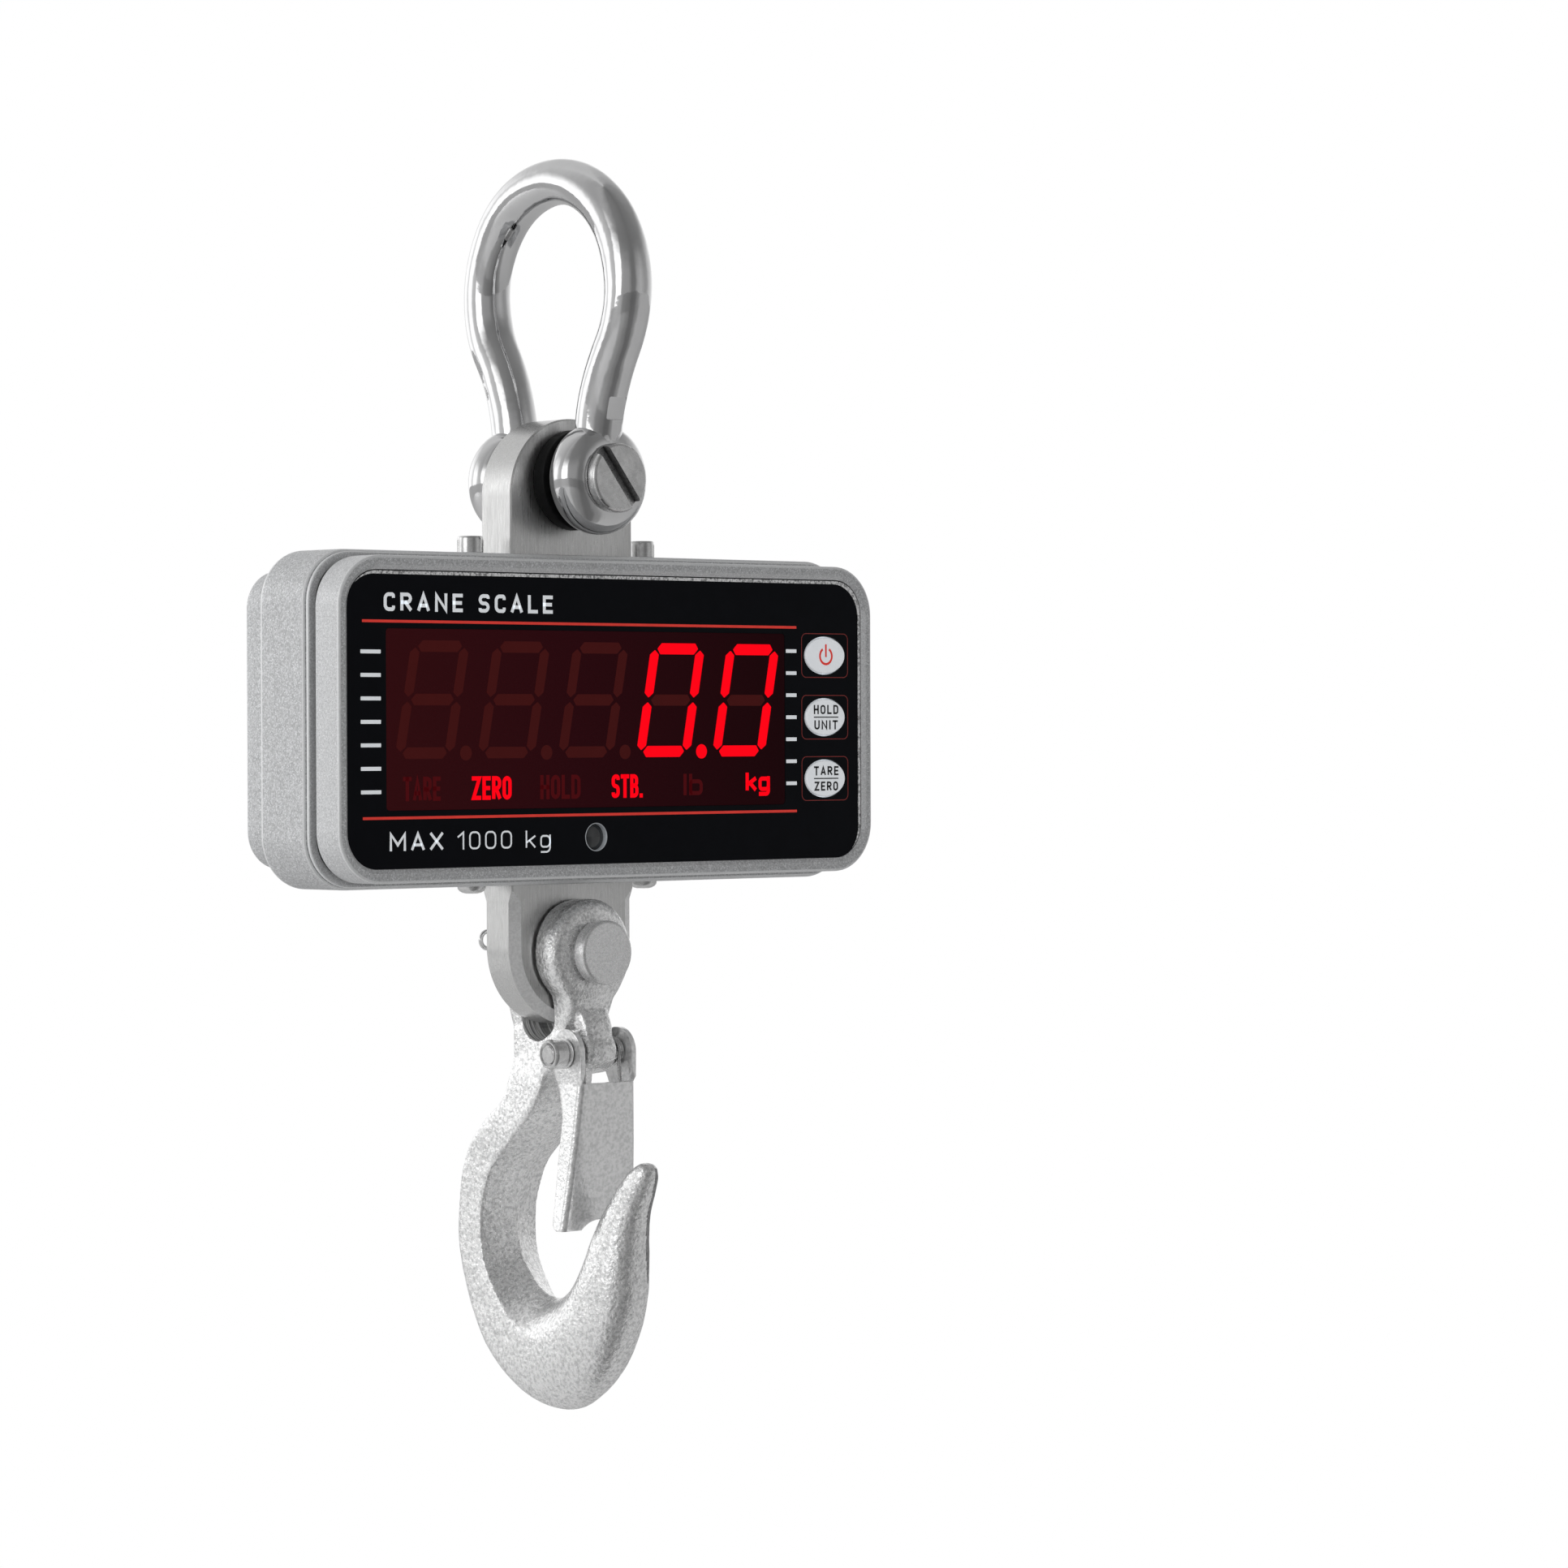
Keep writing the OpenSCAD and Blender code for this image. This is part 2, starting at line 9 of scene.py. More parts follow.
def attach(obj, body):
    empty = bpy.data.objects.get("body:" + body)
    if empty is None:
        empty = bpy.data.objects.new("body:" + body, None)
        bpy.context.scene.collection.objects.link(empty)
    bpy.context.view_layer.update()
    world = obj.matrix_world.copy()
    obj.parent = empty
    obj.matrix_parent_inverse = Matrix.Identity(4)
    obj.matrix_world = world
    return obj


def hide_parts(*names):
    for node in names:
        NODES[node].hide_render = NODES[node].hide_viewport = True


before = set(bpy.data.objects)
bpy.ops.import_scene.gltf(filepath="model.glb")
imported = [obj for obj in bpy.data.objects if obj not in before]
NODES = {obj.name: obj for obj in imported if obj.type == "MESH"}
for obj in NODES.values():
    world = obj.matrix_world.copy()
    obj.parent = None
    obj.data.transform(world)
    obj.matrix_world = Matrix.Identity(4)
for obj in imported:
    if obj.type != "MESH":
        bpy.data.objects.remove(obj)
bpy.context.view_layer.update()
scene = bpy.context.scene

MM = 0.001
HZ = -139.0            # height of the housing's centre in the row frame, mm
UP_Z = HZ + 64.5       # shackle pin
LO_Z = HZ - 62.6       # clevis pin
BOLT = (-14.4, HZ - 89.5)


# ------------------------------------------------------------------ materials
def _n(nt, kind, **kw):
    n = nt.nodes.new(kind)
    for k, v in kw.items():
        setattr(n, k, v)
    return n


def _set(node, **kw):
    for k, v in kw.items():
        node.inputs[k.replace("_", " ")].default_value = v


def material(name, col, col2=None, metallic=0.0, rough=(0.35, 0.5), cscale=120.0, rscale=260.0,
             bumps=((900.0, 0.2, 0.0001),), stretch=(1, 1, 1), edge=None, coat=0.0, coat_rough=0.1,
             aniso=0.0, spec=0.5, emit=None, emit_s=0.0, ior=1.5, cramp=(0.35, 0.65), flakes=None):
    """A procedural finish: colour drift, uneven roughness, one or more bump layers, and edge colour set by pointiness,
    which paints a highlight along convex edges; where the edge colour given is dark it paints a dark outline instead.
    """
    m = bpy.data.materials.new(name)
    m.use_nodes = True
    nt = m.node_tree
    b = nt.nodes["Principled BSDF"]
    link = nt.links.new
    tc = _n(nt, "ShaderNodeTexCoord")
    mp = _n(nt, "ShaderNodeMapping")
    mp.inputs["Scale"].default_value = stretch
    link(tc.outputs["Object"], mp.inputs["Vector"])

    def noise(scale, detail=4.0, rough_=0.55, vec=None):
        t = _n(nt, "ShaderNodeTexNoise")
        t.inputs["Scale"].default_value = scale
        t.inputs["Detail"].default_value = detail
        t.inputs["Roughness"].default_value = rough_
        link((vec or mp).outputs[0], t.inputs["Vector"])
        return t

    if col2 is None:
        col2 = tuple(min(1.0, c * 1.12 + 0.004) for c in col)
    t1 = noise(cscale)
    cr = _n(nt, "ShaderNodeValToRGB")
    cr.color_ramp.elements[0].position = cramp[0]
    cr.color_ramp.elements[1].position = cramp[1]
    cr.color_ramp.elements[0].color = (*col, 1)
    cr.color_ramp.elements[1].color = (*col2, 1)
    link(t1.outputs[0], cr.inputs[0])
    out = cr.outputs[0]
    if flakes:
        fscale, fcol, lo, hi = flakes
        tf = _n(nt, "ShaderNodeTexVoronoi")
        tf.inputs["Scale"].default_value = fscale
        link(tc.outputs["Object"], tf.inputs["Vector"])
        sep = _n(nt, "ShaderNodeSeparateColor")
        link(tf.outputs["Color"], sep.inputs[0])
        mf = _n(nt, "ShaderNodeMapRange")
        mf.inputs["From Min"].default_value = lo
        mf.inputs["From Max"].default_value = hi
        link(sep.outputs[0], mf.inputs["Value"])
        mxf = _n(nt, "ShaderNodeMix", data_type="RGBA")
        link(mf.outputs[0], mxf.inputs["Factor"])
        link(out, mxf.inputs["A"])
        mxf.inputs["B"].default_value = (*fcol, 1)
        out = mxf.outputs["Result"]
    # edge colour by pointiness: painted highlight on convex edges, painted dark outline where ecol is dark
    if edge:
        ecol, lo, hi, amount = edge
        g = _n(nt, "ShaderNodeNewGeometry")
        mr = _n(nt, "ShaderNodeMapRange")
        mr.inputs["From Min"].default_value = lo
        mr.inputs["From Max"].default_value = hi
        mr.inputs["To Max"].default_value = amount
        link(g.outputs["Pointiness"], mr.inputs["Value"])
        tn = noise(cscale * 4)
        mul = _n(nt, "ShaderNodeMath", operation="MULTIPLY")
        mr2 = _n(nt, "ShaderNodeMapRange")
        mr2.inputs["From Min"].default_value = 0.3
        mr2.inputs["From Max"].default_value = 0.6
        link(tn.outputs[0], mr2.inputs["Value"])
        link(mr.outputs[0], mul.inputs[0])
        link(mr2.outputs[0], mul.inputs[1])
        mx = _n(nt, "ShaderNodeMix", data_type="RGBA")
        link(mul.outputs[0], mx.inputs["Factor"])
        link(out, mx.inputs["A"])
        mx.inputs["B"].default_value = (*ecol, 1)
        out = mx.outputs["Result"]
    link(out, b.inputs["Base Color"])
    t2 = noise(rscale, 3.0)
    rr = _n(nt, "ShaderNodeMapRange")
    rr.inputs["From Min"].default_value = 0.3
    rr.inputs["From Max"].default_value = 0.7
    rr.inputs["To Min"].default_value = rough[0]
    rr.inputs["To Max"].default_value = rough[1]
    link(t2.outputs[0], rr.inputs["Value"])
    link(rr.outputs[0], b.inputs["Roughness"])
    last = None
    for bb in bumps:
        sc, st, dist = bb[:3]
        vec = tc if len(bb) > 3 and bb[3] == "iso" else mp
        tb = _n(nt, "ShaderNodeTexNoise")
        tb.inputs["Scale"].default_value = sc
        tb.inputs["Detail"].default_value = 3.0
        link(tc.outputs["Object"] if vec is tc else mp.outputs[0], tb.inputs["Vector"])
        bp = _n(nt, "ShaderNodeBump")
        bp.inputs["Strength"].default_value = st
        bp.inputs["Distance"].default_value = dist
        link(tb.outputs[0], bp.inputs["Height"])
        if last is not None:
            link(last.outputs[0], bp.inputs["Normal"])
        last = bp
    if last is not None:
        link(last.outputs[0], b.inputs["Normal"])
    b.inputs["Metallic"].default_value = metallic
    b.inputs["IOR"].default_value = ior
    b.inputs["Specular IOR Level"].default_value = spec
    b.inputs["Coat Weight"].default_value = coat
    b.inputs["Coat Roughness"].default_value = coat_rough
    b.inputs["Anisotropic"].default_value = aniso
    if emit:
        b.inputs["Emission Color"].default_value = (*emit, 1)
        b.inputs["Emission Strength"].default_value = emit_s
    return m


def lin(r, g, b):
    def f(c):
        c /= 255.0
        return c / 12.92 if c <= 0.04045 else ((c + 0.055) / 1.055) ** 2.4
    return (f(r), f(g), f(b))


M = {}
M["chrome"] = material("polished_steel", (0.66, 0.66, 0.665), (0.73, 0.73, 0.735), 1.0, (0.05, 0.11), 60, 500,
                       bumps=((1500.0, 0.05, 0.00003), (210.0, 0.16, 0.0003), (70.0, 0.38, 0.0010)), edge=((0.9, 0.9, 0.9), 0.53, 0.6, 0.5))
M["pin"] = material("pin_steel", (0.56, 0.56, 0.56), (0.70, 0.70, 0.70), 1.0, (0.20, 0.42), 300, 900,
                    bumps=((1500.0, 0.18, 0.00008), (90.0, 0.10, 0.0004)), edge=((0.9, 0.9, 0.9), 0.52, 0.58, 0.7))
M["cell"] = material("ground_steel", (0.56, 0.56, 0.555), (0.66, 0.66, 0.655), 1.0, (0.24, 0.38), 2600, 3000,
                     bumps=((4200.0, 0.22, 0.00003), (300.0, 0.05, 0.0002, "iso")), stretch=(1, 1, 0.045),
                     edge=((0.9, 0.9, 0.9), 0.52, 0.6, 0.6))
M["cell_edge"] = material("milled_steel", (0.82, 0.82, 0.82), (0.97, 0.97, 0.97), 0.55, (0.42, 0.6), 1400, 1800,
                          bumps=((1500.0, 0.5, 0.00016), (3500.0, 0.3, 0.00006)))
M["bored"] = material("bored_steel", (0.22, 0.22, 0.22), (0.98, 0.98, 0.98), 0.5, (0.30, 0.45), 1500, 1500,
                      bumps=((900.0, 0.5, 0.0002),), stretch=(1, 0.05, 0.05), edge=((0.9, 0.9, 0.9), 0.53, 0.6, 0.5), cramp=(0.42, 0.58))
M["paint"] = material("silver_powder_coat", lin(166, 167, 169), lin(204, 205, 206), 0.25, (0.34, 0.50), 1700, 2600,
                      bumps=((3600.0, 0.34, 0.00007), (1500.0, 0.10, 0.00006)), flakes=(3400.0, lin(226, 227, 229), 0.70, 0.95),
                      edge=(lin(236, 237, 238), 0.505, 0.55, 0.75))
M["paint_plain"] = material("silver_powder_coat_door", lin(166, 167, 169), lin(204, 205, 206), 0.25, (0.34, 0.50), 1700, 2600,
                            bumps=((3600.0, 0.34, 0.00007), (1500.0, 0.10, 0.00006)), flakes=(3400.0, lin(226, 227, 229), 0.70, 0.95))
# a lighter copy of the silver coat for narrow edge faces: painted highlight lines
M["paint_highlight"] = material("silver_powder_coat_painted_highlight", lin(226, 227, 228), lin(238, 239, 240), 0.25, (0.30, 0.42), 2200, 2600,
                           bumps=((3600.0, 0.25, 0.00006),))
# near-black and near-white speckles in the colour: painted glints of a cast edge
M["ledge"] = material("cast_edge_painted_glints", (0.16, 0.16, 0.165), (0.97, 0.97, 0.975), 0.5, (0.25, 0.4), 1500, 1500,
                      bumps=((1500.0, 0.6, 0.0002),), edge=((0.99, 0.99, 0.99), 0.53, 0.6, 0.5), cramp=(0.38, 0.56))
M["hook"] = material("bright_zinc_forging", (0.68, 0.683, 0.686), (1.0, 1.0, 1.0), 0.84, (0.19, 0.34), 1050, 700,
                     bumps=((950.0, 0.75, 0.00038), (2000.0, 0.4, 0.00010), (300.0, 0.3, 0.0006)),
                     edge=((0.99, 0.99, 0.99), 0.52, 0.6, 0.6), cramp=(0.36, 0.56))
# dark edge colour: painted shade along the pin's turned edges
M["pin_zinc"] = material("bright_zinc_turned", (0.84, 0.843, 0.846), (1.0, 1.0, 1.0), 0.70, (0.20, 0.34), 1900, 1200,
                         bumps=((1900.0, 0.3, 0.0001), (520.0, 0.1, 0.0002)), edge=((0.35, 0.35, 0.355), 0.51, 0.56, 0.8), cramp=(0.38, 0.58))
# darker band on the hook point's +X flank: trimmed-flash texture with painted shade
M["flash_and_shade_band"] = material("trimmed_flash_and_painted_shade", (0.20, 0.20, 0.205), (0.46, 0.46, 0.465), 0.6, (0.40, 0.6), 1500, 900,
                     bumps=((1500.0, 0.4, 0.0001),), edge=((0.6, 0.6, 0.6), 0.54, 0.62, 0.4))
M["slot"] = material("slot_shadowed_steel", (0.05, 0.05, 0.052), (0.16, 0.16, 0.162), 0.8, (0.35, 0.5), 900, 900,
                     bumps=((1500.0, 0.3, 0.0001),), edge=((0.8, 0.8, 0.8), 0.52, 0.58, 0.9))
M["latch"] = material("bright_zinc_sheet", (0.78, 0.783, 0.786), (1.0, 1.0, 1.0), 0.7, (0.13, 0.27), 1050, 900,
                      bumps=((950.0, 0.5, 0.0002), (400.0, 0.2, 0.0003)), edge=((0.99, 0.99, 0.99), 0.53, 0.6, 0.6), cramp=(0.38, 0.58))
M["screw"] = material("bright_screw_steel", (0.64, 0.64, 0.64), (0.76, 0.76, 0.76), 1.0, (0.14, 0.28), 500, 1100,
                      bumps=((1800.0, 0.16, 0.00006),), edge=((0.92, 0.92, 0.92), 0.52, 0.58, 0.7))
M["spring"] = material("spring_wire", (0.50, 0.50, 0.50), (0.62, 0.62, 0.62), 1.0, (0.22, 0.34), 900, 1200,
                       bumps=((2200.0, 0.2, 0.00005),))
M["brass"] = material("gold_contact", (0.78, 0.58, 0.24), (0.88, 0.69, 0.34), 1.0, (0.2, 0.34), 500, 900,
                      bumps=((1500.0, 0.15, 0.00005),))
M["rubber"] = material("black_rubber", (0.012, 0.012, 0.012), (0.024, 0.024, 0.024), 0.0, (0.55, 0.75), 500, 900,
                       bumps=((1600.0, 0.3, 0.0001),))
M["nylon"] = material("black_nylon", (0.004, 0.004, 0.0042), (0.007, 0.007, 0.0075), 0.0, (0.4, 0.55), 400, 700,
                      bumps=((1300.0, 0.22, 0.00008),), spec=0.15)
M["panel"] = material("black_overlay", (0.0018, 0.0024, 0.0042), (0.0026, 0.0032, 0.0054), 0.0, (0.30, 0.36), 260, 420,
                      bumps=((3000.0, 0.05, 0.00002),), spec=0.07)
M["plastic"] = material("black_plastic", (0.016, 0.016, 0.017), (0.028, 0.028, 0.03), 0.0, (0.4, 0.55), 400, 700,
                        bumps=((1500.0, 0.2, 0.00008),))
M["board"] = material("green_board", (0.010, 0.10, 0.04), (0.018, 0.15, 0.06), 0.0, (0.25, 0.4), 300, 500,
                      bumps=((700.0, 0.2, 0.00008),))
M["gauge"] = material("gauge_film", (0.42, 0.22, 0.05), (0.58, 0.34, 0.09), 0.0, (0.3, 0.45), 900, 900,
                      bumps=((900.0, 0.2, 0.00006),))
M["cellwrap"] = material("battery_sleeve", (0.03, 0.10, 0.36), (0.05, 0.15, 0.45), 0.0, (0.22, 0.34), 200, 500,
                         bumps=((400.0, 0.1, 0.0001),), coat=0.3)
M["key"] = material("pale_key_cap", lin(232, 236, 240), lin(240, 243, 246), 0.0, (0.32, 0.44), 260, 600,
                    bumps=((2200.0, 0.12, 0.00005),), edge=(lin(240, 242, 244), 0.53, 0.6, 0.5))
M["print_white"] = material("pale_print", lin(228, 232, 236), lin(236, 239, 242), 0.0, (0.42, 0.52), 300, 600,
                            bumps=((2600.0, 0.06, 0.00003),))
M["print_grey"] = material("grey_print", lin(196, 201, 206), lin(206, 211, 216), 0.0, (0.42, 0.52), 300, 600,
                           bumps=((2600.0, 0.06, 0.00003),))
M["print_red"] = material("red_print", lin(196, 38, 30), lin(214, 48, 38), 0.0, (0.42, 0.52), 300, 600,
                          bumps=((2600.0, 0.06, 0.00003),))
M["print_dark_red"] = material("dark_red_print", lin(112, 30, 28), lin(126, 36, 32), 0.0, (0.42, 0.52), 300, 600,
                               bumps=((2600.0, 0.06, 0.00003),))
M["print_black"] = material("black_print", lin(16, 17, 20), lin(22, 23, 26), 0.0, (0.42, 0.52), 300, 600,
                            bumps=((2600.0, 0.06, 0.00003),))
M["lens"] = material("dark_lens", (0.010, 0.012, 0.014), (0.02, 0.023, 0.026), 0.0, (0.06, 0.12), 300, 500,
                     bumps=((200.0, 0.05, 0.0001),), coat=0.6, coat_rough=0.04)


def lit_material(name, c1, c2, e, s, rough=(0.3, 0.4)):
    m = material(name, c1, c2, 0.0, rough, 200, 400, bumps=((1800.0, 0.05, 0.00003),))
    b = m.node_tree.nodes["Principled BSDF"]
    b.inputs["Emission Color"].default_value = (*e, 1)
    b.inputs["Emission Strength"].default_value = s
    b.inputs["Specular IOR Level"].default_value = 0.04
    return m


M["lit"] = lit_material("lit_segment", (0.06, 0.0, 0.001), (0.09, 0.0, 0.001), (1.0, 0.0, 0.007), 0.98)
# the unlit segments and words get a faint red emission though they give no light: painted light
M["ghost"] = lit_material("unlit_segment", lin(40, 12, 12), lin(46, 14, 14), lin(46, 9, 9), 1.3)
M["ghost2"] = lit_material("unlit_word", lin(44, 6, 8), lin(50, 7, 10), lin(62, 6, 10), 1.0)


# emission on surfaces that give no light: painted light
def glow(name, e, st):
    b = M[name].node_tree.nodes["Principled BSDF"]
    b.inputs["Emission Color"].default_value = (*e, 1)
    b.inputs["Emission Strength"].default_value = st


# key caps and panel print glow though they are no lamps: painted light
glow("key", (0.93, 0.96, 1.0), 0.26)
glow("print_white", (0.93, 0.96, 1.0), 0.26)
glow("print_red", (1.0, 0.05, 0.03), 0.26)
glow("print_dark_red", (1.0, 0.06, 0.05), 0.05)


def window_material():
    """The dark red filter, lighter at its left end and deeper towards the right: painted light, falling from the lamps
    on the left.
    """
    m = material("red_filter", (0.02, 0.003, 0.004), (0.03, 0.004, 0.005), 0.0, (0.16, 0.22), 200, 400,
                 bumps=((400.0, 0.03, 0.0001),), spec=0.04)
    nt = m.node_tree
    b = nt.nodes["Principled BSDF"]
    tc = [n for n in nt.nodes if n.type == "TEX_COORD"][0]
    sx = _n(nt, "ShaderNodeSeparateXYZ")
    nt.links.new(tc.outputs["Object"], sx.inputs[0])
    mr = _n(nt, "ShaderNodeMapRange")
    mr.inputs["From Min"].default_value = -0.077
    mr.inputs["From Max"].default_value = 0.061
    nt.links.new(sx.outputs["X"], mr.inputs["Value"])
    cr = _n(nt, "ShaderNodeValToRGB")
    cr.color_ramp.elements[0].color = (*lin(73, 19, 24), 1)
    cr.color_ramp.elements[1].color = (*lin(42, 6, 13), 1)
    mid = cr.color_ramp.elements.new(0.45)
    mid.color = (*lin(62, 12, 21), 1)
    nt.links.new(mr.outputs[0], cr.inputs[0])
    nt.links.new(cr.outputs[0], b.inputs["Base Color"])
    return m


M["window"] = window_material()


# ------------------------------------------------------------------ mesh helpers
def add(name, verts, faces, mm=True):
    me = bpy.data.meshes.new(name)
    k = MM if mm else 1.0
    me.from_pydata([(v[0] * k, v[1] * k, v[2] * k) for v in verts], [], faces)
    bm = bmesh.new()
    bm.from_mesh(me)
    bmesh.ops.remove_doubles(bm, verts=bm.verts, dist=1e-7)
    bmesh.ops.recalc_face_normals(bm, faces=bm.faces)
    bm.to_mesh(me)
    bm.free()
    o = bpy.data.objects.new(name, me)
    scene.collection.objects.link(o)
    return o


def loft(name, rings, cap=True, loop=False):
    """Skins a list of rings, all with the same number of points."""
    n = len(rings[0])
    verts = [p for r in rings for p in r]
    faces = []
    last = len(rings) if loop else len(rings) - 1
    for i in range(last):
        a, b = i * n, ((i + 1) % len(rings)) * n
        for j in range(n):
            k = (j + 1) % n
            faces.append((a + j, a + k, b + k, b + j))
    if cap and not loop:
        faces.append(tuple(range(n))[::-1])
        faces.append(tuple((len(rings) - 1) * n + j for j in range(n)))
    return add(name, verts, faces)


def rr(w, h, r, n=12):
    """Points of a rounded rectangle from its half sizes, in X and Z."""
    pts = []
    for cx, cz, a0 in ((w - r, h - r, 0), (-w + r, h - r, 90), (-w + r, -h + r, 180), (w - r, -h + r, 270)):
        for i in range(n + 1):
            a = math.radians(a0 + 90.0 * i / n)
            pts.append((cx + r * math.cos(a), cz + r * math.sin(a)))
    return pts


def yslab(name, rings, cx=0.0, cz=HZ, n=12):
    """rings: (half width, half height, corner radius, y)"""
    return loft(name, [[(cx + x, y, cz + z) for x, z in rr(w, h, r, n)] for w, h, r, y in rings])


def lathe(name, prof, axis="y", at=(0, 0, 0), n=64):
    """Turns a closed or open profile of (radius, along) round an axis. Radius 0 ends close it."""
    verts, faces, rings = [], [], []
    for r, t in prof:
        if r < 1e-6:
            rings.append([len(verts)])
            pts = [(0.0, 0.0, t)]
        else:
            rings.append(list(range(len(verts), len(verts) + n)))
            pts = [(r * math.cos(2 * math.pi * i / n), r * math.sin(2 * math.pi * i / n), t) for i in range(n)]
        for a, b, t_ in pts:
            if axis == "y":
                v = (at[0] + a, at[1] + t_, at[2] + b)
            elif axis == "x":
                v = (at[0] + t_, at[1] + a, at[2] + b)
            else:
                v = (at[0] + a, at[1] + b, at[2] + t_)
            verts.append(v)
    pairs = list(zip(rings[:-1], rings[1:]))
    if len(rings[0]) > 1 and len(rings[-1]) > 1:
        pairs.append((rings[-1], rings[0]))
    for a, b in pairs:
        for i in range(n):
            k = (i + 1) % n
            if len(a) == 1 and len(b) == 1:
                continue
            if len(a) == 1:
                faces.append((a[0], b[i], b[k]))
            elif len(b) == 1:
                faces.append((a[i], a[k], b[0]))
            else:
                faces.append((a[i], a[k], b[k], b[i]))
    return add(name, verts, faces)


def prism(name, poly, axis, t0, t1, off=(0, 0, 0)):
    """Extrudes a polygon. axis x: the polygon is in (Y, Z); axis y: (X, Z); axis z: (X, Y)."""
    def p(a, b, t):
        if axis == "x":
            v = (t, a, b)
        elif axis == "y":
            v = (a, t, b)
        else:
            v = (a, b, t)
        return (v[0] + off[0], v[1] + off[1], v[2] + off[2])
    return loft(name, [[p(a, b, t0) for a, b in poly], [p(a, b, t1) for a, b in poly]])


def cylp(r, n=48, c=(0, 0), a0=0.0):
    return [(c[0] + r * math.cos(a0 + 2 * math.pi * i / n), c[1] + r * math.sin(a0 + 2 * math.pi * i / n)) for i in range(n)]


def cyl(name, axis, r, t0, t1, c=(0, 0), n=48):
    return prism(name, cylp(r, n, c), axis, t0, t1)


def boxo(name, x0, x1, y0, y1, z0, z1):
    return prism(name, [(x0, z0), (x1, z0), (x1, z1), (x0, z1)], "y", y0, y1)


def bake(o):
    """Applies the object's modifiers."""
    dg = bpy.context.evaluated_depsgraph_get()
    dg.update()
    me = bpy.data.meshes.new_from_object(o.evaluated_get(dg), preserve_all_data_layers=True, depsgraph=dg)
    old = o.data
    o.modifiers.clear()
    o.data = me
    me.name = o.name
    if old.users == 0:
        bpy.data.meshes.remove(old)
    return o


def boolean(o, others, op="DIFFERENCE", solver="EXACT"):
    for c in others if isinstance(others, (list, tuple)) else [others]:
        m = o.modifiers.new("b", "BOOLEAN")
        m.operation = op
        m.solver = solver
        m.object = c
        bake(o)
        me = c.data
        bpy.data.objects.remove(c)
        bpy.data.meshes.remove(me)
    return o


def tidy(o, flat=0.4):
    bm = bmesh.new()
    bm.from_mesh(o.data)
    bmesh.ops.remove_doubles(bm, verts=bm.verts, dist=2e-6)
    if flat:
        bmesh.ops.dissolve_limit(bm, angle_limit=math.radians(flat), verts=bm.verts, edges=bm.edges)
    bmesh.ops.recalc_face_normals(bm, faces=bm.faces)
    bm.to_mesh(o.data)
    bm.free()
    return o


def bevel(o, width, segs=2, angle=30, clean=True):
    if clean:
        tidy(o)
    m = o.modifiers.new("bev", "BEVEL")
    m.width = width * MM
    m.segments = segs
    m.limit_method = "ANGLE"
    m.angle_limit = math.radians(angle)
    m.use_clamp_overlap = True
    m.miter_outer = "MITER_ARC"
    bake(o)
    return o


def smooth(o, angle=35, weighted=True):
    me = o.data
    me.polygons.foreach_set("use_smooth", [True] * len(me.polygons))
    me.set_sharp_from_angle(angle=math.radians(angle))
    if weighted:
        m = o.modifiers.new("wn", "WEIGHTED_NORMAL")
        m.keep_sharp = True
        m.weight = 60
        bake(o)
    return o


def put(o, body, mats, replaces=(), name=None):
    """Gives a piece its finish and its body, and hides the CAD parts it replaces."""
    if name:
        o.name = name
    mats = mats if isinstance(mats, (list, tuple)) else [mats]
    if len(mats) == 1:
        o.data.materials.clear()
        o.data.polygons.foreach_set("material_index", [0] * len(o.data.polygons))
    while len(o.data.materials) < len(mats):
        o.data.materials.append(None)
    for i, m in enumerate(mats):
        o.data.materials[i] = M[m]
    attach(o, body)
    if replaces:
        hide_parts(*replaces)
    return o


def refine(node, body, mat, bev=0.3, segs=2, angle=30, name=None, sm=35):
    """A piece with softened edges, made from a CAD node's own shape."""
    me = NODES[node].data.copy()
    o = bpy.data.objects.new(name or node + "_finished", me)
    scene.collection.objects.link(o)
    bm = bmesh.new()
    bm.from_mesh(me)
    bmesh.ops.remove_doubles(bm, verts=bm.verts, dist=1e-6)
    bmesh.ops.dissolve_limit(bm, angle_limit=math.radians(0.5), verts=bm.verts, edges=bm.edges)
    bm.to_mesh(me)
    bm.free()
    for a in ("custom_normal",):
        if a in me.attributes:
            me.attributes.remove(me.attributes[a])
    if bev:
        bevel(o, bev, segs, angle, clean=False)
    smooth(o, sm)
    return put(o, body, mat, (node,))


def join(name, objs):
    bm = bmesh.new()
    for o in objs:
        me = o.data
        bm.from_mesh(me)
    me = bpy.data.meshes.new(name)
    bm.to_mesh(me)
    bm.free()
    for o in objs:
        d = o.data
        bpy.data.objects.remove(o)
        bpy.data.meshes.remove(d)
    o = bpy.data.objects.new(name, me)
    scene.collection.objects.link(o)
    return o


def tube(name, pts, r, n=16, close=False, caps=True):
    """A round wire along a polyline, with rings kept from twisting."""
    P = [Vector(p) for p in pts]
    N = len(P)
    tang = []
    for i in range(N):
        if close:
            t = P[(i + 1) % N] - P[i - 1]
        else:
            t = P[min(i + 1, N - 1)] - P[max(i - 1, 0)]
        tang.append(t.normalized())
    up = Vector((0, 0, 1)) if abs(tang[0].z) < 0.9 else Vector((1, 0, 0))
    u = tang[0].cross(up).normalized()
    rings = []
    rad = r if isinstance(r, (list, tuple)) else [r] * N
    for i in range(N):
        t = tang[i]
        u = (u - t * u.dot(t)).normalized()
        v = t.cross(u)
        rings.append([tuple(P[i] + (u * math.cos(2 * math.pi * j / n) + v * math.sin(2 * math.pi * j / n)) * rad[i]) for j in range(n)])
    return loft(name, rings, cap=caps, loop=close)


def arc(cy, cz, R, a0, a1, n):
    return [(cy + R * math.cos(math.radians(a0 + (a1 - a0) * i / n)), cz + R * math.sin(math.radians(a0 + (a1 - a0) * i / n))) for i in range(n + 1)]


